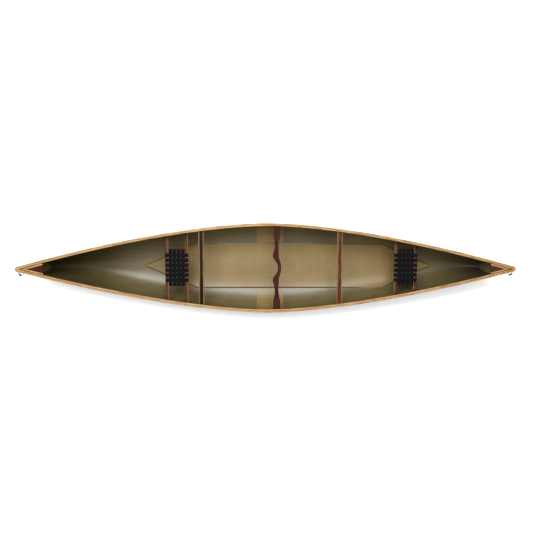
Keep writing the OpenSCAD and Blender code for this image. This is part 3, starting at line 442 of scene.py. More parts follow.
def woven(tree, pitch):
    """Height of a plain weave: the sine of u times the sine of v, each with a period of two threads."""
    cloth = add(tree, "ShaderNodeUVMap", uv_map="cloth_and_grain")
    split = add(tree, "ShaderNodeSeparateXYZ", {"Vector": cloth.outputs["UV"]})
    warp = add(tree, "ShaderNodeMath", {0: split.outputs["X"], 1: math.pi / pitch}, operation="MULTIPLY")
    weft = add(tree, "ShaderNodeMath", {0: split.outputs["Y"], 1: math.pi / pitch}, operation="MULTIPLY")
    one = add(tree, "ShaderNodeMath", {0: warp.outputs[0]}, operation="SINE")
    two = add(tree, "ShaderNodeMath", {0: weft.outputs[0]}, operation="SINE")
    return add(
        tree, "ShaderNodeMath", {0: one.outputs[0], 1: two.outputs[0]}, operation="MULTIPLY"
    ).outputs[0]


# Aramid laminate over green: olive brown under clear resin, the cloth faintly checked, with
# soft clouds and lengthwise streaks. Painted shade darkens it towards both stems, and it loses
# its gloss in the bow. Threads are 1.5 mm apart; they are drawn 4 mm apart.
laminate, tree, surface = finish("clear_resin_aramid_laminate", Coat_Roughness=0.28)
thread = woven(tree, 0.004)
spot = add(tree, "ShaderNodeTexCoord")
pool = add(
    tree, "ShaderNodeTexNoise",
    {"Vector": spot.outputs["Object"], "Scale": 2.2, "Detail": 5.0, "Roughness": 0.6},
)
tone = add(tree, "ShaderNodeValToRGB", {"Fac": pool.outputs["Fac"]}, stops=[(0.3, "413921"), (0.7, "50472c")])
check = add(
    tree, "ShaderNodeMapRange",
    {"Value": thread, "From Min": -1.0, "From Max": 1.0, "To Min": 0.88, "To Max": 1.12},
)
drawn = add(
    tree, "ShaderNodeVectorMath", {0: spot.outputs["Object"], 1: (0.8, 45.0, 45.0)}, operation="MULTIPLY"
)
streak = add(tree, "ShaderNodeTexNoise", {"Vector": drawn.outputs[0], "Scale": 1.0, "Detail": 3.0})
strip = add(
    tree, "ShaderNodeMapRange",
    {"Value": streak.outputs["Fac"], "From Min": 0.3, "From Max": 0.7, "To Min": 0.86, "To Max": 1.14},
)
split = add(tree, "ShaderNodeSeparateXYZ", {"Vector": spot.outputs["Object"]})
# Painted shade: the colour darkens towards both stems, where the walls stand steep.
bow = add(
    tree, "ShaderNodeMapRange",
    {"Value": split.outputs["X"], "From Min": 1.4, "From Max": 2.3, "To Min": 1.0, "To Max": 0.5},
)
stern = add(
    tree, "ShaderNodeMapRange",
    {"Value": split.outputs["X"], "From Min": -2.3, "From Max": -1.9, "To Min": 0.4, "To Max": 1.05},
)
painted_end_shade = add(tree, "ShaderNodeMath", {0: bow.outputs[0], 1: stern.outputs[0]}, operation="MULTIPLY")
depth = add(tree, "ShaderNodeMath", {0: check.outputs[0], 1: strip.outputs[0]}, operation="MULTIPLY")
depth = add(tree, "ShaderNodeMath", {0: depth.outputs[0], 1: painted_end_shade.outputs[0]}, operation="MULTIPLY")
shaded = add(
    tree, "ShaderNodeVectorMath", {0: tone.outputs["Color"], 1: depth.outputs[0]}, operation="MULTIPLY"
)
rough = add(tree, "ShaderNodeMapRange", {"Value": pool.outputs["Fac"], "To Min": 0.34, "To Max": 0.55})
relief = add(tree, "ShaderNodeBump", {"Height": thread, "Distance": 0.0003, "Strength": 0.35})
gloss = add(
    tree, "ShaderNodeMapRange",
    {"Value": split.outputs["X"], "From Min": 1.4, "From Max": 1.8, "To Min": 0.4, "To Max": 0.1},
)
tree.links.new(gloss.outputs[0], surface.inputs["Specular IOR Level"])
tree.links.new(gloss.outputs[0], surface.inputs["Coat Weight"])
tree.links.new(shaded.outputs[0], surface.inputs["Base Color"])
tree.links.new(rough.outputs[0], surface.inputs["Roughness"])
tree.links.new(relief.outputs["Normal"], surface.inputs["Normal"])

# The solid top of each stem, between the rails, is filled with resin and wood flour.
stem_filler, tree, surface = finish(
    "wood_flour_filler", Base_Color=linear("8a6a43"), Roughness=0.6, Specular_IOR_Level=0.2
)

hull = place_piece("laid_up_hull", points, faces, uv, laminate, 50)
hull.data.materials.append(gel_coat)
slots = np.zeros(len(faces), dtype=np.int32)
slots[: len(outer_faces)] = 1
stem_tops = len(faces) - len(steps) - len(tip_tops)
slots[stem_tops:-2] = 2
hull.data.polygons.foreach_set("material_index", slots)
hull.data.materials.append(stem_filler)
for end in ("bow_end", "bow_quarter", "forward", "middle", "rear", "stern_quarter", "stern_end"):
    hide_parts(f"hull_{end}")

# ---------------------------------------------------------------- bulkheads and flotation
# Each end is closed off under its deck by a flat panel of the same laminate, glued all
# round, with a block of closed-cell foam behind it that keeps the boat afloat.
GLUE_LINE = 0.0003


def section_ring(x, inset, drop=GLUE_LINE):
    """One whole section of the hollow at x, open at the top: the section curve at the inset, port side
    down and starboard side up."""
    angle = np.pi / 2 * np.linspace(1, 0, BILGE_STEPS + 1) ** GIRTH_POWER
    wide, high = section(np.float64(x), angle, inset)
    high[0] -= drop
    return np.stack(
        [np.full(2 * BILGE_STEPS + 1, x), np.r_[wide, -wide[-2::-1]], np.r_[high, high[-2::-1]]], -1
    )


# Unpolished laminate: the same cloth and resin, laid flat on glass, a shade lighter.
flat_laminate, tree, surface = finish(
    "flat_aramid_panel", Roughness=0.45, Coat_Weight=0.3, Coat_Roughness=0.2
)
thread = woven(tree, 0.004)
tone = add(
    tree, "ShaderNodeValToRGB",
    {"Fac": add(tree, "ShaderNodeMapRange", {"Value": thread, "From Min": -1.0, "From Max": 1.0}).outputs[0]},
    stops=[(0.0, "52482b"), (1.0, "665b3a")],
)
relief = add(tree, "ShaderNodeBump", {"Height": thread, "Distance": 0.0003, "Strength": 0.3})
tree.links.new(tone.outputs["Color"], surface.inputs["Base Color"])
tree.links.new(relief.outputs["Normal"], surface.inputs["Normal"])

# Closed-cell polyethylene foam: off white, dull, with a fine cell pattern.
cell_foam, tree, surface = finish("closed_cell_foam", Base_Color=linear("e6e3da"), Roughness=0.9)
spot = add(tree, "ShaderNodeTexCoord")
cells = add(tree, "ShaderNodeTexVoronoi", {"Vector": spot.outputs["Object"], "Scale": 500.0})
relief = add(
    tree, "ShaderNodeBump", {"Height": cells.outputs["Distance"], "Distance": 0.0006, "Strength": 0.6}
)
tree.links.new(relief.outputs["Normal"], surface.inputs["Normal"])

for end, low, high in (("bow", 2.338, 2.342), ("stern", -2.326, -2.322)):
    rings = np.stack([section_ring(low, SKIN + GLUE_LINE), section_ring(high, SKIN + GLUE_LINE)])
    panel = place_piece(f"{end}_end_panel", *stack(rings), flat_laminate, 30)
    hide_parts(f"{end}_bulkhead")
    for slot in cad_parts[f"{end}_foam"].material_slots:
        slot.material = cell_foam

# ---------------------------------------------------------------- floor core and side bands
# A foam core under golden aramid cloth stiffens the bottom. It has bevelled edges and comes
# to a point at each end. One band of the same cloth runs up each side under the yoke.
CORE_HALF, CORE_THICKNESS, CORE_BEVEL, CORE_GLUE, TIP_HALF = 0.251, 0.006, 0.014, 0.001, 0.002
TIP_RAMP = 0.015
BOW_POINT, BOW_SHOULDER, STERN_SHOULDER, STERN_POINT = 1.386, 0.781, -1.258, -1.838
BAND_AFT, BAND_FORWARD, BAND_FOOT, BAND_TOP, BAND_THICKNESS = -0.172, 0.122, 0.257, 0.3153, 0.004

# Golden aramid under clear resin: pale checks with darker seams between them, under soft
# clouds, with painted shade darkening the point at the bow.
gold_cloth, tree, surface = finish(
    "golden_aramid_cloth", Specular_IOR_Level=0.4, Coat_Weight=0.25, Coat_Roughness=0.3
)
thread = woven(tree, 0.0225)
cell = add(tree, "ShaderNodeMath", {0: thread}, operation="ABSOLUTE")
spot = add(tree, "ShaderNodeTexCoord")
pool = add(
    tree, "ShaderNodeTexNoise",
    {"Vector": spot.outputs["Object"], "Scale": 3.5, "Detail": 6.0, "Roughness": 0.65},
)
tone = add(
    tree, "ShaderNodeValToRGB", {"Fac": pool.outputs["Fac"]}, stops=[(0.28, "5c4b24"), (0.72, "6b5830")]
)
check = add(tree, "ShaderNodeMapRange", {"Value": cell.outputs[0], "To Min": 0.78, "To Max": 1.32})
split = add(tree, "ShaderNodeSeparateXYZ", {"Vector": spot.outputs["Object"]})
# Painted shade: the cloth darkens towards the point at the bow.
bow_point_shade = add(
    tree, "ShaderNodeMapRange",
    {"Value": split.outputs["X"], "From Min": 0.9, "From Max": 1.15, "To Min": 1.0, "To Max": 0.74},
)
depth = add(tree, "ShaderNodeMath", {0: check.outputs[0], 1: bow_point_shade.outputs[0]}, operation="MULTIPLY")
shaded = add(
    tree, "ShaderNodeVectorMath", {0: tone.outputs["Color"], 1: depth.outputs[0]}, operation="MULTIPLY"
)
rough = add(tree, "ShaderNodeMapRange", {"Value": pool.outputs["Fac"], "To Min": 0.36, "To Max": 0.6})
relief = add(tree, "ShaderNodeBump", {"Height": thread, "Distance": 0.0003, "Strength": 0.35})
tree.links.new(shaded.outputs[0], surface.inputs["Base Color"])
tree.links.new(rough.outputs[0], surface.inputs["Roughness"])
tree.links.new(relief.outputs["Normal"], surface.inputs["Normal"])

# The same cloth on the bevel, a darker brown, so that the edge of the core shows as a line:
# partly resin-rich cloth, partly painted shade on the bevel's sideways faces.
bevel_cloth_and_shade, tree, surface = finish(
    "resin_rich_bevel_and_painted_shade", Base_Color=linear("43340f"), Roughness=0.45, Specular_IOR_Level=0.2, Coat_Weight=0.1
)
relief = add(tree, "ShaderNodeBump", {"Height": woven(tree, 0.004), "Distance": 0.0003, "Strength": 0.35})
tree.links.new(relief.outputs["Normal"], surface.inputs["Normal"])

ACROSS = 24
x = np.unique(np.r_[np.linspace(STERN_POINT, BOW_POINT, 220), STERN_SHOULDER, BOW_SHOULDER])
half = np.interp(
    x, [STERN_POINT, STERN_SHOULDER, BOW_SHOULDER, BOW_POINT], [TIP_HALF, CORE_HALF, CORE_HALF, TIP_HALF]
)
thick = CORE_THICKNESS * np.clip(np.minimum(x - STERN_POINT, BOW_POINT - x) / TIP_RAMP + 0.1, 0.1, 1)
flat_half = np.maximum(half - CORE_BEVEL, half / 2)
share = np.linspace(1, -1, 2 * ACROSS + 1)
low_y = half[:, None] * share
top_y = flat_half[:, None] * share[::-1]
angle = np.pi / 2 * np.linspace(0, 1, 200) ** GIRTH_POWER
bottom = [section(s, angle, SKIN) for s in x]
low_z = np.stack([np.interp(np.abs(y), *curve) for y, curve in zip(low_y, bottom)]) + CORE_GLUE
top_z = np.stack([np.interp(np.abs(y), *curve) for y, curve in zip(top_y, bottom)]) + CORE_GLUE
top_z = top_z + thick[:, None]
y, z = np.concatenate([low_y, top_y], 1), np.concatenate([low_z, top_z], 1)
rings = np.stack([np.broadcast_to(x[:, None], y.shape), y, z], -1)
core = place_piece("cored_floor", *stack(rings), gold_cloth, 12)
core.data.materials.append(bevel_cloth_and_shade)
# The bevel faces take the darker cloth, which holds painted shade.
around = np.arange((len(x) - 1) * y.shape[1]) % y.shape[1]
slots = np.zeros(len(core.data.polygons), dtype=np.int32)
slots[: len(around)] = (around == 2 * ACROSS) | (around == y.shape[1] - 1)
core.data.polygons.foreach_set("material_index", slots)
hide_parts("floor_core")

x = np.linspace(BAND_AFT, BAND_FORWARD, 25)
for side, sign in (("port", 1), ("starboard", -1)):
    faces_of = []
    for inset in (SKIN + GLUE_LINE, SKIN + GLUE_LINE + BAND_THICKNESS):
        curves = [section(s, np.pi / 2 * np.linspace(0, 1, 400), inset) for s in x]
        foot = np.array([np.interp(BAND_FOOT, wide, high) for wide, high in curves])
        z = foot[:, None] + (BAND_TOP - foot[:, None]) * np.linspace(0, 1, 40) ** 1.6
        wide = np.stack([np.interp(row, high, wide) for row, (wide, high) in zip(z, curves)])
        faces_of.append(np.stack([np.broadcast_to(x[:, None], z.shape), sign * wide, z], -1))
    band = place_piece(
        f"side_cloth_{side}", *stack(np.concatenate([faces_of[0][:, ::-1], faces_of[1]], 1)), gold_cloth, 30
    )
    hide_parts(f"side_band_{side}")

# ---------------------------------------------------------------- gunwales
# Ash bars inside and outside the skin, bent round the boat and planed to rounded edges.
# Screws go through all three every 200 mm. The outer bars round off together at each end.
NOSE_RADIUS = 0.031758
RAIL_EVEN = 2.44


def bar_rings(s0, s1, a0, a1, z0, z1, r0, r1, crosswise=False, corner=5):
    """Rounded-rectangle rings carried along a bar. Each runs from a0 to a1 across the bar and from z0
    to z1 up. Corners are quarter circles, of radius r0 at a0 and r1 at a1, at most 45 % of the smaller
    side. The place along the bar goes from s0 at a0 to s1 at a1."""
    s0, s1, a0, a1, z0, z1 = (v[:, None] for v in np.broadcast_arrays(*np.atleast_1d(s0, s1, a0, a1, z0, z1)))
    cap = 0.45 * np.minimum(np.abs(a1 - a0), z1 - z0)
    r0, r1 = np.minimum(r0, cap), np.minimum(r1, cap)
    way = np.sign(a1 - a0)
    t = np.linspace(0, np.pi / 2, corner + 1)[None]
    c, s = np.cos(t), np.sin(t)
    a = np.concatenate(
        [
            a1 - way * r1 * (1 - s), a1 - way * r1 * (1 - c),
            a0 + way * r0 * (1 - s), a0 + way * r0 * (1 - c),
        ],
        1,
    )
    z = np.concatenate([z0 + r1 * (1 - c), z1 - r1 * (1 - s), z1 - r0 * (1 - c), z0 + r0 * (1 - s)], 1)
    along = s0 + (s1 - s0) * (a - a0) / np.where(a1 == a0, 1, a1 - a0)
    return np.stack([a, along, z] if crosswise else [along, a, z], -1)


def joined(parts):
    """Several stacks as one set of points, faces and UVs."""
    points, faces, uv = [], [], []
    count = 0
    for part_points, part_faces, part_uv in parts:
        points.append(part_points)
        faces += [[v + count for v in face] for face in part_faces]
        uv.append(part_uv)
        count += len(part_points)
    return np.concatenate(points), faces, np.concatenate(uv)


def wood(name, dark, light, pore, board, band=0.0035, **sockets):
    """Varnished wood. u is along the grain and v across it, in metres: growth bands a few millimetres
    wide wander along the length, with short dark pores between them, and broader figure the tone of
    board shades it."""
    made, tree, surface = finish(name, **sockets)
    cloth = add(tree, "ShaderNodeUVMap", uv_map="cloth_and_grain")
    drawn = add(
        tree, "ShaderNodeVectorMath", {0: cloth.outputs["UV"], 1: (2.2, 1 / band, 1)}, operation="MULTIPLY"
    )
    growth = add(
        tree, "ShaderNodeTexNoise",
        {"Vector": drawn.outputs[0], "Scale": 1.0, "Detail": 4.0, "Roughness": 0.6},
    )
    fine = add(
        tree, "ShaderNodeVectorMath", {0: cloth.outputs["UV"], 1: (90.0, 2200.0, 1)}, operation="MULTIPLY"
    )
    pores = add(tree, "ShaderNodeTexNoise", {"Vector": fine.outputs[0], "Scale": 1.0, "Detail": 2.0})
    tone = add(tree, "ShaderNodeValToRGB", {"Fac": growth.outputs["Fac"]}, stops=[(0.3, dark), (0.68, light)])
    wide = add(
        tree, "ShaderNodeVectorMath", {0: cloth.outputs["UV"], 1: (9.0, 55.0, 1)}, operation="MULTIPLY"
    )
    figure = add(tree, "ShaderNodeTexNoise", {"Vector": wide.outputs[0], "Scale": 1.0, "Detail": 2.0})
    cloud = add(
        tree, "ShaderNodeValToRGB", {"Fac": figure.outputs["Fac"]}, stops=[(0.36, board), (0.6, "ffffff")]
    )
    open_pore = add(
        tree, "ShaderNodeMapRange",
        {"Value": pores.outputs["Fac"], "From Min": 0.56, "From Max": 0.68, "To Min": 1.0, "To Max": pore},
    )
    shaded = add(
        tree, "ShaderNodeVectorMath", {0: tone.outputs["Color"], 1: open_pore.outputs[0]},
        operation="MULTIPLY",
    )
    shaded = add(
        tree, "ShaderNodeVectorMath", {0: shaded.outputs[0], 1: cloud.outputs["Color"]},
        operation="MULTIPLY",
    )
    relief = add(
        tree, "ShaderNodeBump", {"Height": pores.outputs["Fac"], "Distance": 0.0002, "Strength": 0.2}
    )
    tree.links.new(shaded.outputs[0], surface.inputs["Base Color"])
    tree.links.new(relief.outputs["Normal"], surface.inputs["Normal"])
    return made


# Oiled ash: pale straw with tan growth bands and open pores, a soft low sheen.
ash = wood("oiled_ash", "7e6340", "a98b62", 0.72, "dfc2a0", Roughness=0.5, Specular_IOR_Level=0.25)
# The same ash under several coats of oil: the strips of the thwarts and seats are browner.
brown_ash = wood("browned_ash", "5c4425", "7b5c37", 0.7, "dccab8", Roughness=0.5, Specular_IOR_Level=0.2)

# Turned stainless steel: mid grey and shiny, with the fine turning marks of small hardware.
# Real marks are about 0.1 mm apart; they are drawn about 1 mm apart.
steel, tree, surface = finish(
    "turned_stainless_steel", Base_Color=linear("8e8f92"), Metallic=1.0, Roughness=0.28
)
spot = add(tree, "ShaderNodeTexCoord")
marks = add(tree, "ShaderNodeTexNoise", {"Vector": spot.outputs["Object"], "Scale": 900.0})
rough = add(tree, "ShaderNodeMapRange", {"Value": marks.outputs["Fac"], "To Min": 0.2, "To Max": 0.38})
tree.links.new(rough.outputs[0], surface.inputs["Roughness"])

rail_ends = stations[np.abs(stations) > RAIL_EVEN]
rail_x = np.unique(np.r_[np.linspace(-RAIL_EVEN, RAIL_EVEN, 245), rail_ends, hollow_tip, -hollow_tip])
nose = NOSE_RADIUS * np.cos(np.radians(np.linspace(86, 2, 20)))
nose_centre = HALF - NOSE_RADIUS
outer_x = np.unique(
    np.round(
        np.r_[rail_x[np.abs(rail_x) < nose_centre], nose_centre + nose, -nose_centre - nose, HALF, -HALF], 6
    )
)
inner_x = rail_x[np.abs(rail_x) < hollow_tip + 1e-6]
for side, sign in (("port", 1), ("starboard", -1)):
    a0 = np.maximum(0, half_breadth(inner_x) - across(SKIN + INWALE_WIDTH, inner_x))
    a1 = half_breadth(inner_x) - across(SKIN, inner_x)
    rings = bar_rings(
        inner_x, inner_x, sign * a0, sign * a1, sheer(inner_x) - RAIL_HEIGHT, sheer(inner_x),
        np.where(a0[:, None] > 0.001, 0.004, 0.0006), 0.0006,
    )
    inner_bar = place_piece(f"inner_ash_rail_{side}", *stack(rings, sign * 1.7), ash, 40)
    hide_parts(f"inwale_{side}")
    over = np.minimum(np.abs(outer_x), HALF) - nose_centre
    a1 = np.where(
        over > 0, np.sqrt(np.maximum(NOSE_RADIUS**2 - over**2, 1e-6)),
        half_breadth(outer_x) + across(OUTWALE_WIDTH, outer_x)
    )
    a0 = np.where(np.abs(outer_x) < HULL_TIP, half_breadth(outer_x), 0)
    rings = bar_rings(
        outer_x, outer_x, sign * a0, sign * a1, sheer(outer_x) - RAIL_HEIGHT, sheer(outer_x), 0.0006, 0.0045
    )
    outer_bar = place_piece(f"outer_ash_rail_{side}", *stack(rings, sign * 4.1), ash, 40)
    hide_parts(f"outwale_{side}")
for name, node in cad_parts.items():
    if name.endswith(("_bolts", "_nuts", "_screws")):
        for slot in node.material_slots:
            slot.material = steel

# ---------------------------------------------------------------- decks
# A walnut panel fills each end between two ash strips, with a thin dark walnut line along
# the rails and along both edges of the panel. The inboard edge is rounded over by hand.
PINSTRIPE, STRIP, DECK_THICKNESS, EDGE_LINE, ROUND_OVER = 0.006, 0.014, 0.01, 0.005, 0.003

# Walnut, varnished: warm red brown, with near-black growth bands and a soft gloss. The yoke
# and the bow deck are a redder board; the bow thwart and the deck lines are nearly black.
yoke_walnut = wood(
    "dark_red_walnut", "240c07", "40201a", 0.6, "b8a8a0", 0.005, Roughness=0.42, Specular_IOR_Level=0.06
)
walnut = wood(
    "varnished_walnut", "2e150e", "54301f", 0.6, "b8a8a0", 0.005, Roughness=0.42, Specular_IOR_Level=0.1
)
dark_walnut = wood(
    "heart_walnut", "0f0605", "1c0d0a", 0.6, "c0b0a8", 0.005, Roughness=0.42, Specular_IOR_Level=0.08
)


def deck_bar(end, edge, meet, inner, outer, start):
    """A strip of a deck from its inboard edge to where it runs out, between two offsets from the
    inwale. The top drops by a quarter circle over the last few millimetres inboard."""
    turn = ROUND_OVER * (1 - np.cos(np.linspace(0, np.pi / 2, 6)))
    a = np.unique(np.r_[edge + turn, np.linspace(edge + 0.01, meet, 50)])
    drop = ROUND_OVER - np.sqrt(np.maximum(0, ROUND_OVER**2 - np.maximum(0, ROUND_OVER - a + edge) ** 2))
    x = end * a
    return stack(
        bar_rings(x, x, inner(x), outer(x), sheer(x) - DECK_THICKNESS, sheer(x) - drop, 0.0008, 0.0008),
        start,
    )


def inside_rail(offset, sign=1):
    """The line at an offset in from the inwale, as a function of x, no nearer the middle than 0.1 mm."""
    return lambda x: sign * np.maximum(0.0001, half_breadth(x) - across(SKIN + INWALE_WIDTH + offset, x))


for end, sign, edge, board in (("bow", 1, 2.26, yoke_walnut), ("stern", -1, 2.276, walnut)):
    panel_edge, line_edge = PINSTRIPE + STRIP, PINSTRIPE + STRIP + EDGE_LINE
    parts = [deck_bar(sign, edge, 2.3965, inside_rail(line_edge, -1), inside_rail(line_edge), sign * 3.3)]
    for way in (1, -1):
        parts.append(
            deck_bar(sign, edge, 2.408, inside_rail(line_edge, way), inside_rail(panel_edge, way), 5.0)
        )
    deck = place_piece(f"{end}_deck_board", *joined(parts), board, 40)
    deck.data.materials.append(dark_walnut)
    slots = np.repeat([0, 1, 1], [len(part[1]) for part in parts]).astype(np.int32)
    deck.data.polygons.foreach_set("material_index", slots)
    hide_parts(f"{end}_deck_panel")
    parts = [
        deck_bar(sign, edge, 2.4595, inside_rail(panel_edge, w), inside_rail(PINSTRIPE, w), w * 2.0)
        for w in (1, -1)
    ]
    strips = place_piece(f"{end}_deck_ash_strips", *joined(parts), ash, 40)
    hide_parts(f"{end}_deck_strips")
    parts = [
        deck_bar(sign, edge, 2.4813, inside_rail(PINSTRIPE, w), inside_rail(0.0, w), w * 3.0)
        for w in (1, -1)
    ]
    lines = place_piece(f"{end}_deck_dark_lines", *joined(parts), dark_walnut, 40)
    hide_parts(f"{end}_deck_pinstripes")

# ---------------------------------------------------------------- thwarts and yoke
# Two laminated thwarts, walnut between ash strips, narrow at the middle. The carrying yoke
# between them is one walnut board, sawn to a curve that fits the neck and shoulders.
EDGE_GAP, THWART_END, THWART_WAIST, THWART_THICKNESS, THWART_EDGE = 0.002, 0.056, 0.048, 0.019, 0.009
YOKE_X, YOKE_TOP, YOKE_THICKNESS, YOKE_END = -0.088, 0.34801, 0.022, 0.036
# Stretches of the yoke's outline, from its middle out to each side
YOKE_NECK, YOKE_LOBE, YOKE_WAIST = 0.126, 0.114, 0.125


def ease(t):
    """Half a cosine wave from 0 to 1."""
    return (1 - np.cos(np.pi * t)) / 2


def cross_half(x, low, high):
    """Half the length of a cross piece at x: the hollow's half-width at its lower or upper face,
    whichever is less, with a small gap."""
    wide, up = section(np.float64(x), np.pi / 2 * np.linspace(0, 1, 600), SKIN)
    return min(np.interp(low, up, wide), np.interp(high, up, wide)) - EDGE_GAP


def cross_bar(x, front, rear, low, high, r_front, r_rear, start):
    """A cross piece with its ends cut along the skin. Front and rear are its edges' distances from x,
    from the starboard end to the port end."""
    share = np.linspace(-1, 1, len(front))
    y_front = share * cross_half(x + front[0], low, high)
    y_rear = share * cross_half(x + rear[0], low, high)
    return stack(bar_rings(y_rear, y_front, x + rear, x + front, low, high, r_rear, r_front, True), start)


share = np.abs(np.linspace(-1, 1, 81))
edge = (THWART_WAIST + (THWART_END - THWART_WAIST) * ease(share)) / 2
for end, x, top, tone, slot_name in (
    ("bow", 0.695, 0.353085, dark_walnut, "dark_walnut"), ("stern", -0.744, 0.352838, walnut, "walnut")
):
    low = top - THWART_THICKNESS
    board = cross_bar(x, edge - THWART_EDGE, THWART_EDGE - edge, low, top, 0.0004, 0.0004, x)
    middle = place_piece(f"{end}_thwart_board", *board, tone, 40)
    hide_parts(f"{end}_thwart_core")
    parts = [
        cross_bar(x, edge, edge - THWART_EDGE, low, top, 0.005, 0.0004, 1.0),
        cross_bar(x, THWART_EDGE - edge, -edge, low, top, 0.0004, 0.005, 2.0),
    ]
    strips = place_piece(f"{end}_thwart_ash_strips", *joined(parts), brown_ash, 40)
    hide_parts(f"{end}_thwart_edges")

low = YOKE_TOP - YOKE_THICKNESS
span = min(cross_half(YOKE_X + side, low, YOKE_TOP) for side in (-YOKE_END, YOKE_END))
y = span * np.linspace(-1, 1, 241)
away = np.clip(np.abs(y), 0, YOKE_NECK + YOKE_LOBE + YOKE_WAIST)
neck = away / YOKE_NECK
waist = (away - YOKE_NECK) / YOKE_LOBE
flare = (away - YOKE_NECK - YOKE_LOBE) / YOKE_WAIST


def yoke_edge(at_neck, at_lobe, at_waist, at_end):
    """Distance of an edge from the yoke's middle line: eased curves through the neck, the lobe, the
    waist and the end."""
    return np.where(
        away < YOKE_NECK, at_neck + (at_lobe - at_neck) * ease(np.clip(neck, 0, 1) ** 1.3),
        np.where(
            away < YOKE_NECK + YOKE_LOBE, at_lobe + (at_waist - at_lobe) * ease(np.clip(waist, 0, 1) ** 0.8),
            at_waist + (at_end - at_waist) * ease(np.clip(flare, 0, 1)),
        ),
    )


front = YOKE_X + yoke_edge(-0.012, 0.042, 0.020, YOKE_END)
rear = YOKE_X + yoke_edge(-0.046, -0.021, -0.017, -YOKE_END)
yoke = place_piece(
    "carrying_yoke", *stack(bar_rings(y, y, rear, front, low, YOKE_TOP, 0.0075, 0.0075, True, 7), 6.0),
    yoke_walnut, 40
)
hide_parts("yoke")

# ---------------------------------------------------------------- seats
# Each seat is a walnut frame with a pale strip along each cross rail, woven over with black
# webbing. It hangs under the inwales on two boards, bolted through at each corner.
RAIL_GAP, RAIL_WIDTH, RAIL_THICKNESS, STRIP_WIDTH, STRETCHER_Y = 0.204, 0.034, 0.019, 0.005, 0.1755
LONG_STRAPS, LONG_PITCH, CROSS_STRAPS, CROSS_PITCH = 6, 0.052, 4, 0.043
WEB_WIDTH, WEB_THICKNESS, WEB_MIDDLE, WEB_SWING, WEB_TAIL = 0.038, 0.0014, 0.00155, 0.0008, 0.024
HANGER_THICKNESS, HANGER_WEB, HANGER_FOOT = 0.013, 0.018, 0.0227

# Polypropylene webbing: black, dull, ribbed across, with a tight selvedge weave.
webbing, tree, surface = finish("black_polypropylene_webbing", Roughness=0.75, Specular_IOR_Level=0.08)
cloth = add(tree, "ShaderNodeUVMap", uv_map="cloth_and_grain")
split = add(tree, "ShaderNodeSeparateXYZ", {"Vector": cloth.outputs["UV"]})
rib = add(tree, "ShaderNodeMath", {0: split.outputs["X"], 1: 2 * math.pi / 0.0022}, operation="MULTIPLY")
yarn = add(tree, "ShaderNodeMath", {0: split.outputs["Y"], 1: 2 * math.pi / 0.003}, operation="MULTIPLY")
one = add(tree, "ShaderNodeMath", {0: rib.outputs[0]}, operation="SINE")
two = add(tree, "ShaderNodeMath", {0: yarn.outputs[0]}, operation="SINE")
both = add(tree, "ShaderNodeMath", {0: one.outputs[0], 1: two.outputs[0]}, operation="MULTIPLY")
shade = add(tree, "ShaderNodeMapRange", {"Value": both.outputs[0], "From Min": -1.0, "From Max": 1.0})
tone = add(tree, "ShaderNodeValToRGB", {"Fac": shade.outputs[0]}, stops=[(0.1, "030304"), (0.9, "09090b")])
relief = add(tree, "ShaderNodeBump", {"Height": both.outputs[0], "Distance": 0.0004, "Strength": 0.7})
tree.links.new(tone.outputs["Color"], surface.inputs["Base Color"])
tree.links.new(relief.outputs["Normal"], surface.inputs["Normal"])


def strap(centre, top, half, lengthwise, swing_of):
    """A strap over two bars: tacked under one, up its outer face, woven across, and down and under the
    other. Its middle line is spaced out evenly along its length, and the cross section is a thin
    rounded rectangle."""
    t = WEB_THICKNESS / 2
    run = np.linspace(-half, half, 97)
    low = -RAIL_THICKNESS - t - 0.0002
    out = half + t + 0.0002
    rise = WEB_MIDDLE + swing_of(run)
    sides = np.linspace(low, rise[0], 12)[1:-1]
    s = np.r_[
        np.linspace(WEB_TAIL - half, -out, 10), np.full(10, -out), run, np.full(10, out),
        np.linspace(out, half - WEB_TAIL, 10),
    ]
    z = np.r_[np.full(10, low), sides, rise, sides[::-1], np.full(10, low)]
    line = np.stack([s, z], -1)
    length = np.r_[0, np.cumsum(np.linalg.norm(np.diff(line, axis=0), axis=1))]
    even = np.linspace(0, length[-1], 241)
    line = np.stack([np.interp(even, length, line[:, k]) for k in (0, 1)], -1)
    way = np.gradient(line, axis=0)
    way /= np.linalg.norm(way, axis=1)[:, None]
    normal = np.stack([-way[:, 1], way[:, 0]], -1)
    w, r, corner = WEB_WIDTH / 2, 0.0005, np.radians([0, 30, 60, 90])
    c, q = np.cos(corner), np.sin(corner)
    b = np.r_[w - r + r * q, w - r + r * c, -w + r - r * q, -w + r - r * c]
    h = np.r_[-t + r - r * c, t - r + r * q, t - r + r * c, -t + r - r * q]
    flat = line[:, None] + normal[:, None] * h[None, :, None]
    along, up = flat[..., 0], flat[..., 1] + top
    side = np.broadcast_to(b, along.shape)
    x, y = (along, side) if lengthwise else (side, along)
    return stack(np.stack([x + centre[0], y + centre[1], up], -1))


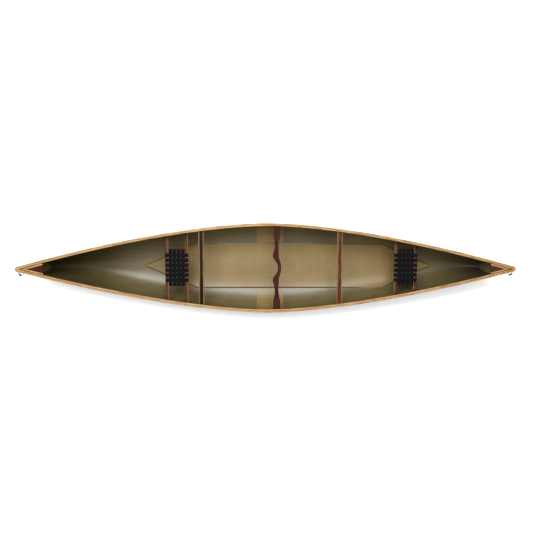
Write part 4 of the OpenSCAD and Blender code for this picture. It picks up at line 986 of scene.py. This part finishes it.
for end, x, top, inward in (("bow", 0.958, 0.308113, -1), ("stern", -1.453, 0.305095, 1)):
    low, half = top - RAIL_THICKNESS, RAIL_WIDTH / 2
    for name, place, start in (("front_rail", x + RAIL_GAP / 2, 1.0), ("rear_rail", x - RAIL_GAP / 2, 2.0)):
        ends = (
            np.full(9, inward * half), np.full(9, inward * (half - STRIP_WIDTH)), np.full(9, -inward * half)
        )
        body = cross_bar(place, ends[1], ends[2], low, top, 0.0004, 0.004, start)
        rail = place_piece(f"{end}_seat_{name}_board", *body, walnut, 40)
        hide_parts(f"{end}_seat_{name}")
    parts = [
        cross_bar(x + s * RAIL_GAP / 2, ends[0], ends[1], low, top, 0.004, 0.0004, 3.0 + s) for s in (1, -1)
    ]
    strips = place_piece(f"{end}_seat_ash_strips", *joined(parts), brown_ash, 40)
    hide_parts(f"{end}_seat_rail_edges")
    reach = np.linspace(half - RAIL_GAP / 2, RAIL_GAP / 2 - half, 5) + x
    parts = [
        stack(
            bar_rings(reach, reach, s * STRETCHER_Y - half, s * STRETCHER_Y + half, low, top, 0.003, 0.003),
            s,
        )
        for s in (1, -1)
    ]
    stretchers = place_piece(f"{end}_seat_side_bars", *joined(parts), walnut, 40)
    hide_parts(f"{end}_seat_stretchers")

    # Each strap goes over one crossing strap and under the next.
    parts = [
        strap(
            (x, (k - (LONG_STRAPS - 1) / 2) * LONG_PITCH), top, (RAIL_GAP + RAIL_WIDTH) / 2, True,
            lambda s, k=k: WEB_SWING * np.cos(np.pi * (s / CROSS_PITCH + (CROSS_STRAPS - 1) / 2 + k)),
        )
        for k in range(LONG_STRAPS)
    ]
    long_web = place_piece(f"{end}_seat_lengthwise_webbing", *joined(parts), webbing, 50)
    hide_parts(f"{end}_seat_long_straps")
    parts = [
        strap(
            (x + (k - (CROSS_STRAPS - 1) / 2) * CROSS_PITCH, 0), top, STRETCHER_Y + half, False,
            lambda s, k=k: -WEB_SWING * np.cos(np.pi * (s / LONG_PITCH + (LONG_STRAPS - 1) / 2 + k)),
        )
        for k in range(CROSS_STRAPS)
    ]
    cross_web = place_piece(f"{end}_seat_crosswise_webbing", *joined(parts), webbing, 50)
    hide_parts(f"{end}_seat_cross_straps")

    # Each hanger is a board on edge: a foot on each cross rail and an arch between the feet.
    arch_half = RAIL_GAP / 2 - HANGER_FOOT
    turn = np.linspace(0, np.pi, 61)
    hx = np.r_[
        -RAIL_GAP / 2 - half, -RAIL_GAP / 2, -arch_half * np.cos(turn), RAIL_GAP / 2, RAIL_GAP / 2 + half
    ]
    lift = np.r_[0, 0, np.sin(turn) ** 0.6, 0, 0]
    hx = hx + x
    high = sheer(hx) - RAIL_HEIGHT - GLUE_LINE
    foot = top + (high - HANGER_WEB - top) * lift
    out_high = half_breadth(hx) - across(SKIN, hx) - GLUE_LINE
    curves = [section(s, np.pi / 2 * np.linspace(0, 1, 600), SKIN) for s in hx]
    out_low = np.minimum(
        out_high, [np.interp(f, up, wide) for f, (wide, up) in zip(foot, curves)]
    ) - GLUE_LINE
    for side, sign in (("port", 1), ("starboard", -1)):
        rings = bar_rings(hx, hx, 0, HANGER_THICKNESS, foot, high, 0.0008, 0.003)
        share = (rings[..., 2] - foot[:, None]) / (high - foot)[:, None]
        rings[..., 1] = sign * (out_low[:, None] + (out_high - out_low)[:, None] * share - rings[..., 1])
        board = place_piece(f"{end}_seat_hanging_board_{side}", *stack(rings, sign * 2.0), walnut, 40)
        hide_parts(f"{end}_seat_hanger_{side}")
